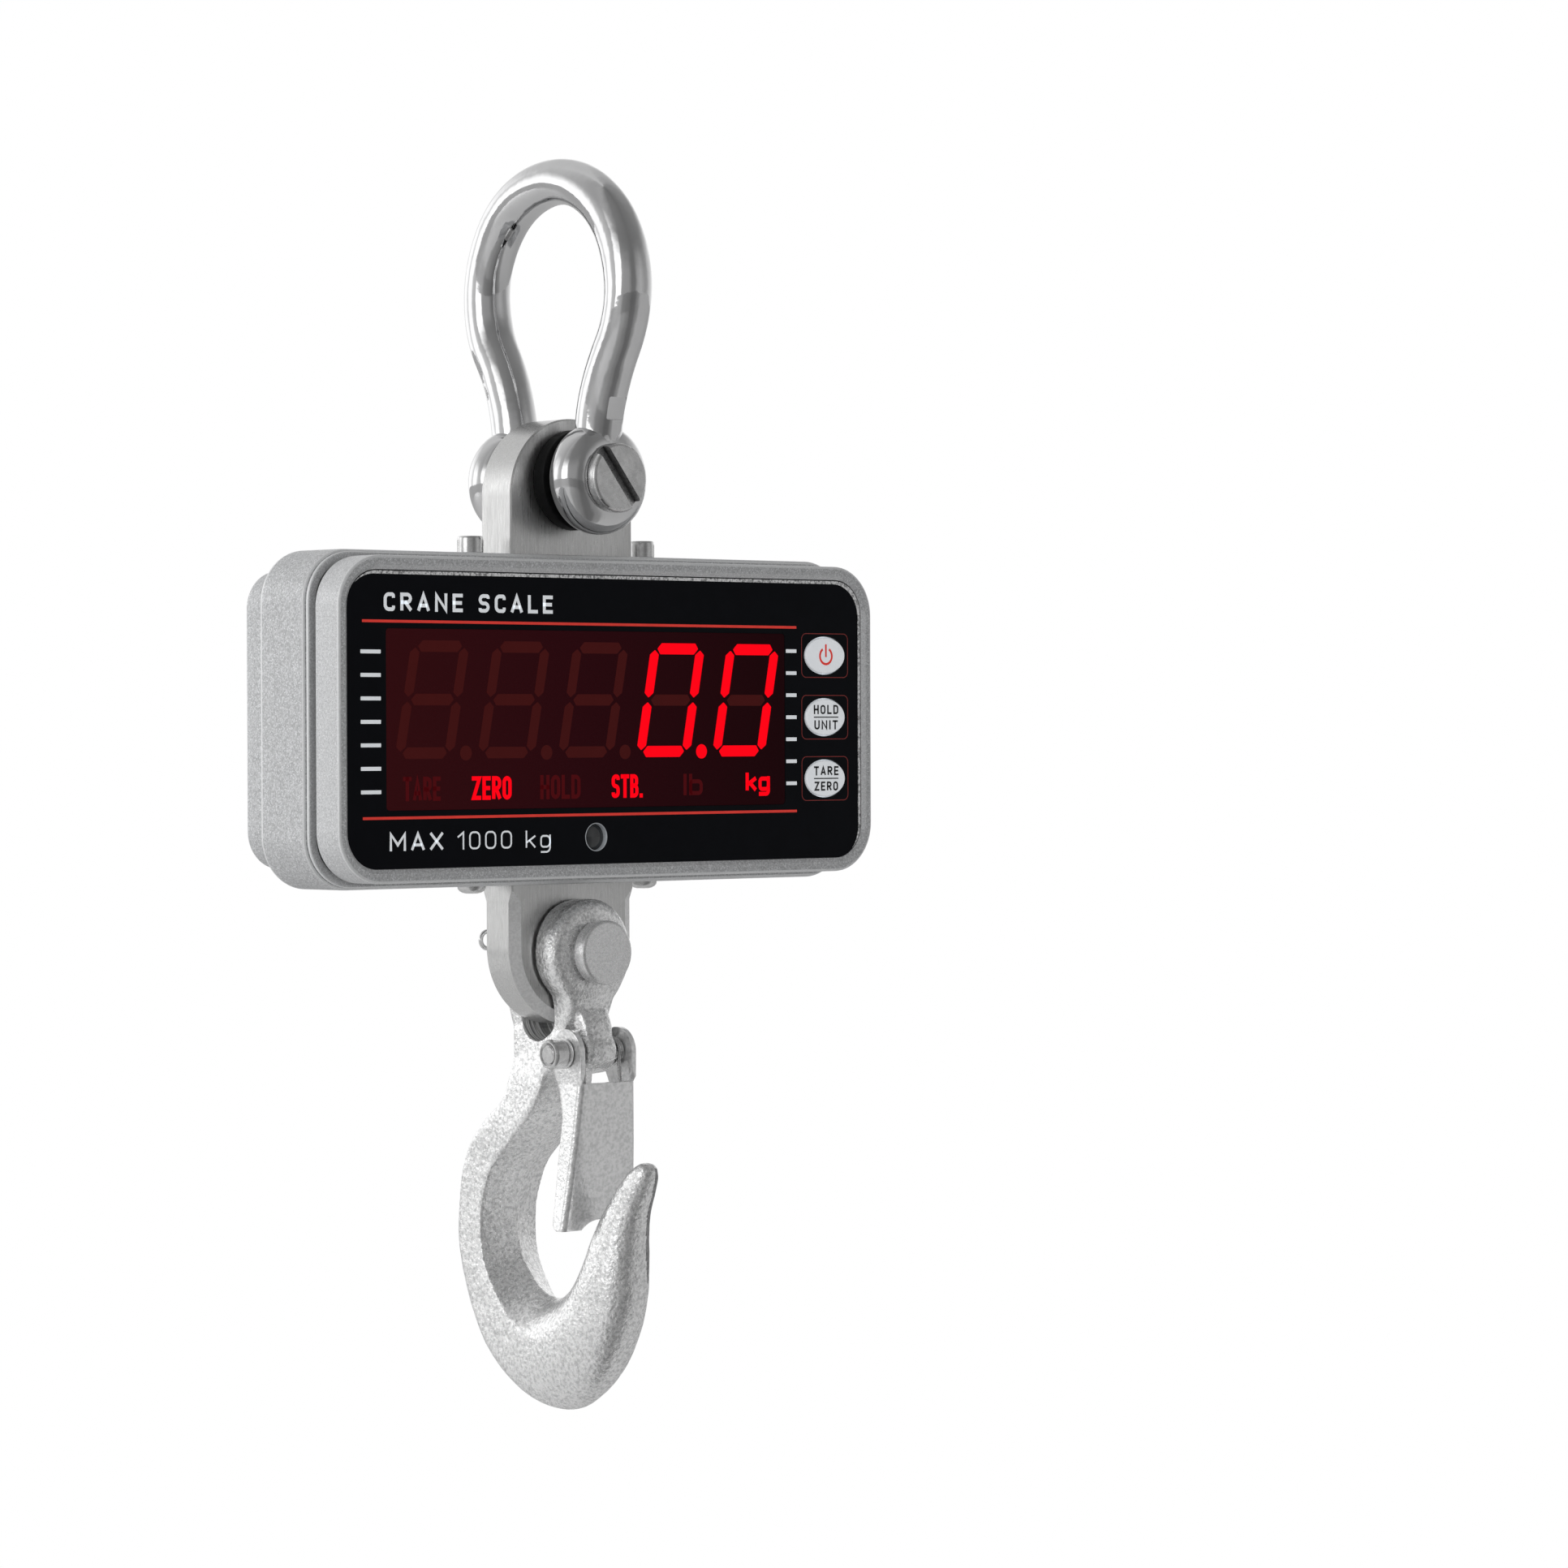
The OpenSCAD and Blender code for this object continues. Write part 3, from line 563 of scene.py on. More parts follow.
GLYPH = {
    "T": (1.0, [[(0, 1), (1, 1)], [(0.5, 1), (0.5, 0)]]),
    "A": (1.1, [[(0, 0), (0.5, 1), (1, 0)], [(0.2, 0.28), (0.8, 0.28)]]),
    "R": (1.0, [[(0, 0), (0, 1), (1, 1, 1), (1, 0.48, 1), (0, 0.48)], [(0.42, 0.48), (1, 0)]]),
    "E": (0.85, [[(1, 1), (0, 1), (0, 0), (1, 0)], [(0, 0.5), (0.88, 0.5)]]),
    "Z": (1.0, [[(0, 1), (1, 1), (0, 0), (1, 0)]]),
    "O": (1.0, [[(0, 0.5), (0, 1, 1), (1, 1, 1), (1, 0, 1), (0, 0, 1), (0, 0.5)]]),
    "0": (1.0, [[(0, 0.5), (0, 1, 1), (1, 1, 1), (1, 0, 1), (0, 0, 1), (0, 0.5)]]),
    "1": (0.55, [[(0, 0.74), (0.95, 1), (0.95, 0)]]),
    "H": (1.0, [[(0, 0), (0, 1)], [(1, 0), (1, 1)], [(0, 0.5), (1, 0.5)]]),
    "L": (0.85, [[(0, 1), (0, 0), (1, 0)]]),
    "D": (1.0, [[(0, 0.5), (0, 1), (1, 1, 1), (1, 0, 1), (0, 0), (0, 0.5)]]),
    "S": (0.95, [[(1, 0.82), (1, 1, 1), (0, 1, 1), (0, 0.5, 1), (1, 0.5, 1), (1, 0, 1), (0, 0, 1), (0, 0.18)]]),
    "B": (1.0, [[(0, 0.7), (0, 1), (0.94, 1, 1), (0.94, 0.52, 1), (0, 0.52), (0, 0.7)], [(0, 0.3), (0, 0.52), (1, 0.52, 1), (1, 0, 1), (0, 0), (0, 0.3)]]),
    "U": (1.0, [[(0, 1), (0, 0, 1), (1, 0, 1), (1, 1)]]),
    "N": (1.1, [[(0, 0), (0, 1), (1, 0), (1, 1)]]),
    "I": (0.0, [[(0, 0), (0, 1)]]),
    "M": (1.35, [[(0, 0), (0, 1), (0.5, 0.3), (1, 1), (1, 0)]]),
    "X": (1.1, [[(0, 0), (1, 1)], [(0, 1), (1, 0)]]),
    "C": (0.95, [[(1, 0.76), (1, 1, 1), (0, 1, 1), (0, 0, 1), (1, 0, 1), (1, 0.24)]]),
    "k": (0.9, [[(0, 0), (0, 1)], [(1, 0.68), (0.05, 0.3)], [(0.34, 0.42), (1, 0)]]),
    "g": (0.95, [[(0, 0.34), (0, 0.68, 1), (1, 0.68, 1), (1, 0, 1), (0, 0, 1), (0, 0.34)], [(1, 0.7), (1, -0.32, 1), (0.05, -0.32)]]),
    "l": (0.0, [[(0, 0), (0, 1)]]),
    "b": (0.95, [[(0, 0), (0, 1)], [(0, 0.34), (0, 0.68, 1), (1, 0.68, 1), (1, 0, 1), (0, 0, 1), (0, 0.34)]]),
    ".": (0.0, [[(0, -0.02), (0, 0.03)]]),
    "/": (0.8, [[(0, 0), (1, 1)]]),
    " ": (0.3, [])}


def text(name, body, x0, x1, z0, z1, y, thick=0.03, w=0.5, gap=0.42, rc=0.27):
    """A printed word in plain stroke letters filling the given box, z0 the base line and z1 the cap height."""
    h = (z1 - z0) - w
    total = sum(GLYPH[ch][0] for ch in body) + gap * (len(body) - 1)
    unit = ((x1 - x0) - w * len(body)) / total
    x = x0 + w / 2
    parts = []
    for ch in body:
        gw, strokes = GLYPH[ch]
        for st in strokes:
            P = [(x + p[0] * gw * unit, z0 + w / 2 + p[1] * h) for p in st]
            flag = [len(p) > 2 for p in st]
            R = min(rc * h, 0.5 * max(gw * unit, 0.01))
            pts = []
            for i, p in enumerate(P):
                if flag[i] and 0 < i < len(P) - 1:
                    c, a, b = Vector(p), Vector(P[i - 1]), Vector(P[i + 1])
                    u, v = a - c, b - c
                    d = min(R, u.length * 0.5, v.length * 0.5)
                    u.normalize()
                    v.normalize()
                    s, e = c + u * d, c + v * d
                    for k in range(6):
                        t = k / 5.0
                        q = s * (1 - t) ** 2 + c * (0.72 * 2 * t * (1 - t)) + (s + e) * (0.28 * t * (1 - t)) + e * t ** 2
                        pts.append(q)
                else:
                    pts.append(Vector(p))
            q = [pts[0]]
            for p in pts[1:]:
                if (p - q[-1]).length > 1e-4:
                    q.append(p)
            closed = (q[0] - q[-1]).length < 1e-4
            if closed:
                q = q[:-1]
            rings = []
            n = len(q)
            for i, p in enumerate(q):
                a = q[i - 1] if (i > 0 or closed) else None
                b = q[(i + 1) % n] if (i < n - 1 or closed) else None
                d1 = (p - a).normalized() if a is not None else None
                d2 = (b - p).normalized() if b is not None else None
                d1 = d1 if d1 is not None else d2
                d2 = d2 if d2 is not None else d1
                n1, n2 = Vector((-d1.y, d1.x)), Vector((-d2.y, d2.x))
                m = (n1 + n2)
                m = m.normalized() if m.length > 1e-5 else n1
                k = w / 2 / max(0.45, m.dot(n1))
                ext = Vector((0, 0))
                l, r = p + m * k, p - m * k
                rings.append([(l.x, y, l.y), (l.x, y - thick, l.y), (r.x, y - thick, r.y), (r.x, y, r.y)])
            if not closed and ch not in ".CS":
                for end, nb in ((0, 1), (-1, -2)):
                    d = (q[end] - q[nb]).normalized() * (w / 2 if ch not in "AXkR/" else w * 0.3)
                    rings[end] = [(v[0] + d.x, v[1], v[2] + d.y) for v in rings[end]]
            if ch == ".":
                rings = [[(x - w / 2, y, z0), (x - w / 2, y - thick, z0), (x + w / 2, y - thick, z0), (x + w / 2, y, z0)],
                         [(x - w / 2, y, z0 + w), (x - w / 2, y - thick, z0 + w), (x + w / 2, y - thick, z0 + w), (x + w / 2, y, z0 + w)]]
            parts.append(loft("stroke", rings, loop=closed))
        x += gw * unit + w + gap * unit
    return join(name, parts)


def plate(name, poly, y, thick=0.03):
    return prism(name, poly, "y", y - thick, y)


# ------------------------------------------------------------------ camera
def camera():
    cam = bpy.data.cameras.new("camera")
    cam.lens = 113.423
    cam.sensor_width = 36.0
    cam.clip_start = 0.01
    cam.clip_end = 50.0
    o = bpy.data.objects.new("camera", cam)
    scene.collection.objects.link(o)
    yaw, pitch, roll = math.radians(42.046), math.radians(0.6035), math.radians(-0.2)
    a = -yaw
    back = Vector((math.sin(a) * math.cos(pitch), -math.cos(a) * math.cos(pitch), math.sin(pitch)))
    right = (-back).cross(Vector((0, 0, 1))).normalized()
    up = right.cross(-back)
    c, s = math.cos(roll), math.sin(roll)
    r2, u2 = right * c + up * s, up * c - right * s
    m = Matrix(((r2.x, u2.x, back.x, -0.85146), (r2.y, u2.y, back.y, -1.03556), (r2.z, u2.z, back.z, -0.14256), (0, 0, 0, 1)))
    o.matrix_world = m
    scene.camera = o


camera()


# ------------------------------------------------------------------ shackle
def shackle():
    bow_r, bc, ba, leg_y = 30.0, -23.5, 32.0, 17.3
    leg_R = (bow_r * math.cos(math.radians(ba)) - leg_y) / (1 - math.cos(math.radians(ba)))
    cz = bc - bow_r * math.sin(math.radians(ba)) - leg_R * math.sin(math.radians(ba))
    left = arc(leg_y + leg_R, cz, leg_R, 180, 180 - ba, 16)          # +Y leg, from the eye up
    crown = arc(0, bc, bow_r, -ba, 180 + ba, 72)
    path = [(leg_y, -73.5), (leg_y, -71.0)] + left + crown[1:-1]
    path = path + [(-y, z) for y, z in ([(leg_y, -73.5), (leg_y, -71.0)] + left)[::-1]]
    n = 48
    rings = []
    N = len(path)
    for i, (y, z) in enumerate(path):
        a = path[max(i - 1, 0)]
        b = path[min(i + 1, N - 1)]
        t = Vector((0, b[0] - a[0], b[1] - a[1])).normalized()
        nrm = Vector((0, -t.z, t.y))                                    # in plane, to the inside of the bow
        low = min(1.0, max(0.0, (-60.5 - z) / 12.0))
        flare = low * low
        ring = []
        for j in range(n):
            th = 2 * math.pi * j / n
            cu, cs = math.cos(th), math.sin(th)
            # ground flats where the forging's two dies met, inside and outside
            r = 6.5 - 0.16 * abs(cu) ** 10
            wob = 0.085 * math.sin(i * 0.29 + 2.0 * th) + 0.06 * math.sin(i * 0.17 - th * 3.0) + 0.03 * math.sin(i * 0.53 + th)
            r += wob * (1 - low) - 0.06
            p = nrm * (r * cu) + Vector((1, 0, 0)) * (r * cs * (1 + 0.36 * flare))
            ring.append((p.x, y + p.y, z + p.z))
        rings.append(ring)
    bow = loft("shackle_bow_forged", rings)
    eyes = []
    for m in (1, -1):
        y0, y1 = 10.85, 23.75
        prof = [(7.6, y0 + 0.1), (8.8, y0)]
        c = 6.2
        for k in range(9):
            a = math.radians(-90 + 90 * k / 8)
            prof.append((15 - c + c * math.cos(a), y0 + c + c * math.sin(a)))
        for k in range(9):
            a = math.radians(90 * k / 8)
            prof.append((15 - c + c * math.cos(a), y1 - c + c * math.sin(a)))
        prof += [(8.8, y1), (7.6, y1 - 0.1)]
        prof = [(r, t * m) for r, t in prof]
        eyes.append(lathe("eye", prof, "y", (0, 0, UP_Z), 96))
    boolean(bow, eyes, "UNION")
    bores = []
    for m in (1, -1):
        prof = [(0, 8), (8.06, 8), (8.06, 10.85 + 0.5), (8.06, 23.75 - 0.55), (8.06, 26), (0, 26)]
        bores.append(lathe("bore", [(r, t * m) for r, t in prof], "y", (0, 0, UP_Z), 96))
    boolean(bow, bores)
    # struck rectangular pad on the front leg, above the eye
    ca, sa = math.cos(math.radians(13.3)), math.sin(math.radians(13.3))
    pts = []
    for a_ in (-1.0, 5.0):
        pts.append([(0.7 + x, -25.0 - ca * a_ - sa * b, -56.0 - sa * a_ + ca * b) for x, b in rr(3.2 + 0.15 * (a_ > 0), 3.1 + 0.15 * (a_ > 0), 0.5, 3)])
    boolean(bow, loft("pad", pts))
    tidy(bow, 0)
    smooth(bow, 32, weighted=False)
    put(bow, "shackle", "chrome", ("shackle_bow",))

    # slotted pin
    prof = [(0, -27.0), (8.2, -27.0), (8.75, -26.85), (9.1, -26.5), (9.3, -26.0), (9.3, -24.3), (9.15, -23.95), (8.9, -23.8),
            (8.0, -23.8), (8.0, 24.7), (7.9, 24.9), (7.1, 25.7), (6.9, 25.75), (0, 25.75)]
    pin = lathe("shackle_pin_turned", prof, "y", (0, 0, UP_Z), 96)
    s = prism("s", [(-1.75, -15), (1.75, -15), (1.75, 15), (-1.75, 15)], "y", -28, -24.6)
    s.data.transform(Matrix.Rotation(math.radians(-38), 4, "Y"))
    s.data.transform(Matrix.Translation((0, 0, UP_Z * MM)))
    boolean(pin, s)
    bevel(pin, 0.16, 2, 40)
    pin.data.materials.clear()
    pin.data.materials.append(None)
    pin.data.materials.append(None)
    cs, sn = math.cos(math.radians(38)), math.sin(math.radians(38))
    for p in pin.data.polygons:
        c = p.center / MM
        u = c.x * cs + (c.z - UP_Z) * sn
        w = c.x * cs - (c.z - UP_Z) * sn
        p.material_index = 1 if (-26.8 < c.y < -24.4 and min(abs(u), abs(w)) < 1.85 and math.hypot(c.x, c.z - UP_Z) < 9.0) else 0
    smooth(pin, 35)
    put(pin, "shackle", ["pin", "slot"], ("shackle_pin",))


shackle()


# ------------------------------------------------------------------ load cell and washers
def cell():
    w, t = 21.2, 6.35
    up_c, lo_c = 59.9, -61.2
    pts = []
    for i in range(49):
        a = math.radians(0 + 180 * i / 48)
        pts.append((w * math.cos(a), up_c + w * math.sin(a)))
    zs = list(np.linspace(up_c, -44.0, 20))[1:] + list(np.linspace(-44.0, -52.0, 17))[1:] + [-55.0, -58.0]
    pts += [(-w, z) for z in zs]
    for i in range(49):
        a = math.radians(180 + 180 * i / 48)
        pts.append((w * math.cos(a), lo_c + w * math.sin(a)))
    pts += [(w, z) for z in zs[::-1]]

    def cham(z):
        k = min(1.0, max(0.0, (-46.0 - z) / 3.0))
        return 0.4 + 2.6 * k, 0.4 + 1.3 * k

    def inset(p, d):
        x, z = p
        if z > up_c:
            v = Vector((x, z - up_c)).normalized()
            return (x - v.x * d, z - v.y * d)
        if z < lo_c:
            v = Vector((x, z - lo_c)).normalized()
            return (x - v.x * d, z - v.y * d)
        return (x - math.copysign(d, x), z)

    rings = []
    for y, kind in ((-t, 0), (-t, 1), (t, 1), (t, 0)):
        ring = []
        for p in pts:
            d, h = cham(p[1])
            q = inset(p, d) if kind == 0 else p
            yy = y if kind == 0 else (y + h if y < 0 else y - h)
            ring.append((q[0], yy, HZ + q[1]))
        rings.append(ring)
    o = loft("load_cell_ground", rings)
    me = o.data
    me.materials.append(None)
    me.materials.append(None)
    # the chamfer of the lower lug is coarse milled
    for p in me.polygons:
        c = p.center / MM
        if c.z - HZ < -46.0 and 0.2 < abs(p.normal.y) < 0.95:
            p.material_index = 1
    up = lathe("b", [(0, -20), (8.06, -20), (8.06, 20), (0, 20)], "y", (0, 0, UP_Z), 96)
    lo = lathe("b", [(0, -20), (6.56, -20), (6.56, 20), (0, 20)], "y", (0, 0, LO_Z), 96)
    win = yslab("b", [(13, 15, 6, -20), (13, 15, 6, 20)])
    boolean(o, [up, lo, win])
    smooth(o, 20)
    put(o, "scale", ["cell", "cell_edge"], ("load_cell",))

    both = []
    for m in (1, -1):
        prof = [(8.4, 6.35), (13.1, 6.35), (13.4, 6.47), (13.5, 6.75), (13.5, 10.1), (13.35, 10.42), (13.0, 10.55), (8.9, 10.55), (8.5, 10.4), (8.4, 10.1)]
        both.append(lathe("w", [(r, t_ * m) for r, t_ in prof], "y", (0, 0, UP_Z), 96))
    o = join("spacer_washers_moulded", both)
    smooth(o, 35)
    put(o, "scale", "nylon", ("spacer_washers",))


cell()


# ------------------------------------------------------------------ housing
def bright(o, test):
    """Marks the narrow edge faces that take the lighter coat, a painted highlight line; centres are taken from the
    housing's centre, mm.
    """
    me = o.data
    me.materials.clear()
    me.materials.append(None)
    me.materials.append(None)
    for p in me.polygons:
        c = p.center / MM
        c.z -= HZ
        p.material_index = 1 if test(c) else 0


def housing():
    # front frame
    o = yslab("front_shell_cast", [
        (92.5, 42.0, 13.1, -15.2), (92.72, 42.2, 13.35, -15.3), (92.85, 42.3, 13.5, -15.6), (92.85, 42.3, 13.5, -24.5),
        (92.8, 42.25, 13.45, -24.75), (92.65, 42.1, 13.3, -24.98), (92.42, 41.87, 13.07, -25.13), (92.15, 41.6, 12.8, -25.2), (91.4, 40.8, 12.0, -25.2),
        (90.75, 39.75, 10.75, -25.2), (90.6, 39.6, 10.6, -25.14), (89.72, 38.72, 9.72, -24.42), (89.6, 38.6, 9.6, -24.3),
        (89.6, 38.6, 9.6, -23.4)], n=16)
    cav = yslab("c", [(89.0, 38.3, 9.0, -21.4), (89.0, 38.3, 9.0, -14.0)], n=16)
    win = yslab("c", [(69.35, 23.9, 1.5, -26), (69.35, 23.9, 1.5, -20)], cx=-7.95, n=6)
    cuts = [cav, win]
    for z in (17.6, 0.5, -16.5):
        cuts.append(prism("c", [(76 + 7.75 * math.cos(a), HZ + z + 5.4 * math.sin(a)) for a in np.linspace(0, 2 * math.pi, 48, endpoint=False)], "y", -24.5, -20))
    cuts.append(cyl("c", "y", 4.4, -24.5, -20, (-6.8, HZ - 31.4)))
    boolean(o, cuts)
    # the front shell's outer front edge and rear rim take the lighter coat: painted highlight lines
    bright(o, lambda c: (c.y < -24.55 and c.y > -25.19 and (abs(c.x) > 91.9 or abs(c.z) > 41.35 or (abs(c.x) > 80 and abs(c.z) > 30 and math.hypot(abs(c.x) - 79.35, abs(c.z) - 28.8) > 12.85)))
           or (-15.6 < c.y < -15.22))
    smooth(o, 40)
    put(o, "scale", ["paint", "paint_highlight"], ("front_shell",))

    # rear shell
    def R(d, y, hw=94.5, hh=44.2, r=14.0):
        return (hw - d, hh - d, r - d, y)
    rings = [R(1.3, -13.6), R(0.95, -13.52), R(0.76, -13.35), R(0.70, -13.1), R(0.72, -12.75), R(0.86, -12.5), R(1.2, -12.4),
             R(1.2, -12.18), R(0.72, -12.1), R(0.34, -11.92), R(0.14, -11.6), R(0.06, -11.2), R(0.04, -10.6),
             R(0.02, 0.0), R(0.0, 5.5), R(0.02, 5.9), R(0.16, 6.25), R(0.42, 6.5), R(0.95, 6.7)]
    S = dict(hw=90.0, hh=39.7, r=10.5)
    rings += [R(-0.7, 6.7, **S), R(-0.3, 6.8, **S), R(-0.06, 7.05, **S), R(0.0, 7.5, **S), R(0.5, 18.6, **S), R(0.6, 19.1, **S), R(0.85, 19.55, **S),
              R(1.25, 19.88, **S), R(1.8, 20.0, **S)]
    o = yslab("rear_shell_cast", rings, n=16)
    cav1 = yslab("c", [(91.5, 41.2, 11, -15), (91.5, 41.2, 11, 3.7)], n=12)
    cav2 = yslab("c", [(87.0, 36.7, 7.5, 3.6), (87.0, 36.7, 7.5, 17)], n=12)
    boolean(o, [cav1, cav2])
    posts = [cyl("c", "y", 5.2, 10, 18.5, (sx * 80, HZ + sz * 32.5)) for sx in (1, -1) for sz in (1, -1)]
    boolean(o, posts, "UNION")
    cuts = []
    for sz in (1, -1):
        z0, z1 = (30, 60) if sz > 0 else (-60, -30)
        cuts.append(prism("c", [(22.2 - 1.2, 7.35), (22.2, 7.35 - 1.2), (22.2, -7.35 + 1.2), (22.2 - 1.2, -7.35), (-22.2 + 1.2, -7.35), (-22.2, -7.35 + 1.2),
                                (-22.2, 7.35 - 1.2), (-22.2 + 1.2, 7.35)], "z", HZ + z0, HZ + z1))
        for s in (1, -1):
            cuts.append(cyl("c", "z", 2.1, HZ + z0, HZ + z1, (s * 30, 0), 32))
    for sx in (1, -1):
        for sz in (1, -1):
            cuts.append(lathe("c", [(0, -16), (2.15, -16), (2.15, 16.5), (4.0, 16.5), (4.0, 19.5), (4.5, 20.1), (4.5, 24), (0, 24)], "y",
                              (sx * 80, 0, HZ + sz * 32.5), 48))
    cuts.append(yslab("c", [(30.3, 27.3, 3.3, 18), (30.3, 27.3, 3.3, 19.6), (30.7, 27.7, 3.7, 20.1), (30.7, 27.7, 3.7, 24)], cx=-57, n=8))
    cuts.append(yslab("c", [(22.5, 25.5, 2, 10), (22.5, 25.5, 2, 24)], cx=-57, n=6))
    for x in (-83.3, -30.7):
        cuts.append(cyl("c", "y", 1.55, 8, 24, (x, HZ), 24))
    cuts.append(cyl("c", "y", 4.5, 10, 30, (60, HZ - 20), 40))
    boolean(o, cuts)
    tidy(o, 0)
    # the rear shell's front beads and rear step take the lighter coat: painted highlight lines
    bright(o, lambda c: (abs(c.x) > 89.2 or abs(c.z) > 38.9 or math.hypot(abs(c.x) - 80.5, abs(c.z) - 30.2) > 11.5)
           and ((5.6 < c.y < 6.66) or (-13.5 < c.y < -12.55) or (-12.1 < c.y < -11.75)))
    smooth(o, 40)
    put(o, "scale", ["paint", "paint_highlight"], ("rear_shell",))

    # ledge of the recess, seen above and to the right of the overlay; its sparkle is painted glints in the colour
    led = yslab("front_shell_ledge", [(89.3, 38.3, 9.3, -24.02), (89.3, 38.3, 9.3, -24.3), (89.22, 38.22, 9.22, -24.36)], n=16)
    boolean(led, [yslab("c", [(89.3, 38.3, 9.3, -25), (89.3, 38.3, 9.3, -23)], cx=-0.85, cz=HZ - 0.85, n=16)])
    smooth(led, 40)
    put(led, "scale", "ledge")

    # gasket in the groove
    g = loft("housing_gasket_moulded", [[(x, y, HZ + z) for x, z in rr(w, h, r, 12)] for w, h, r, y in
             ((90.5, 39.9, 11.2, -15.2), (91.0, 40.4, 11.7, -14.9), (91.0, 40.4, 11.7, -13.9), (90.5, 39.9, 11.2, -13.6), (88.5, 37.9, 9.2, -13.6), (88.5, 37.9, 9.2, -15.2))], loop=True)
    smooth(g, 35)
    put(g, "scale", "rubber", ("housing_gasket",))

    # battery door, with a lip and finger ribs
    d = yslab("battery_door_cast", [(30.0, 27.0, 3.0, 18.0), (30.0, 27.0, 3.0, 19.4), (29.88, 26.88, 2.88, 19.75), (29.6, 26.6, 2.6, 19.95), (29.3, 26.3, 2.3, 20.0)], cx=-57, n=8)
    ribs = []
    for i in range(-2, 3):
        ribs.append(loft("c", [[(-57 + x, y, HZ + i * 3 + z) for x, z in rr(w, h, r, 5)] for w, h, r, y in
                    ((10, 0.62, 0.6, 19.9), (10, 0.6, 0.58, 20.3), (9.85, 0.42, 0.4, 20.47), (9.7, 0.22, 0.2, 20.5))]))
    boolean(d, ribs, "UNION")
    boolean(d, [lathe("c", [(0, 10), (1.7, 10), (1.7, 19.5), (2.1, 20.2), (0, 20.2)], "y", (x, 0, HZ), 32) for x in (-83.3, -30.7)])
    smooth(d, 40)
    put(d, "scale", "paint_plain", ("battery_door",))


housing()


# ------------------------------------------------------------------ screws
def knurled_socket(at, name):
    """M4 socket head, knurled, axis up."""
    n = 72
    rings = []
    for z, r, k in ((-10.2, 2.0, 0), (0.0, 2.0, 0), (0.0, 3.25, 0), (0.25, 3.42, 0), (0.5, 3.42, 1), (3.7, 3.42, 1), (3.95, 3.42, 0), (4.5, 3.4, 0), (4.75, 3.2, 0), (4.8, 2.9, 0)):
        ring = []
        for j in range(n):
            a = 2 * math.pi * j / n
            rj = r + (0.08 if (j % 2 == 0) else -0.02) * k
            ring.append((at[0] + rj * math.cos(a), at[1] + rj * math.sin(a), at[2] + z))
        rings.append(ring)
    o = loft(name, rings)
    hexa = prism("c", [(at[0] + 1.73 * math.cos(math.radians(60 * i)), at[1] + 1.73 * math.sin(math.radians(60 * i))) for i in range(6)], "z", at[2] + 2.4, at[2] + 8)
    return boolean(o, hexa)


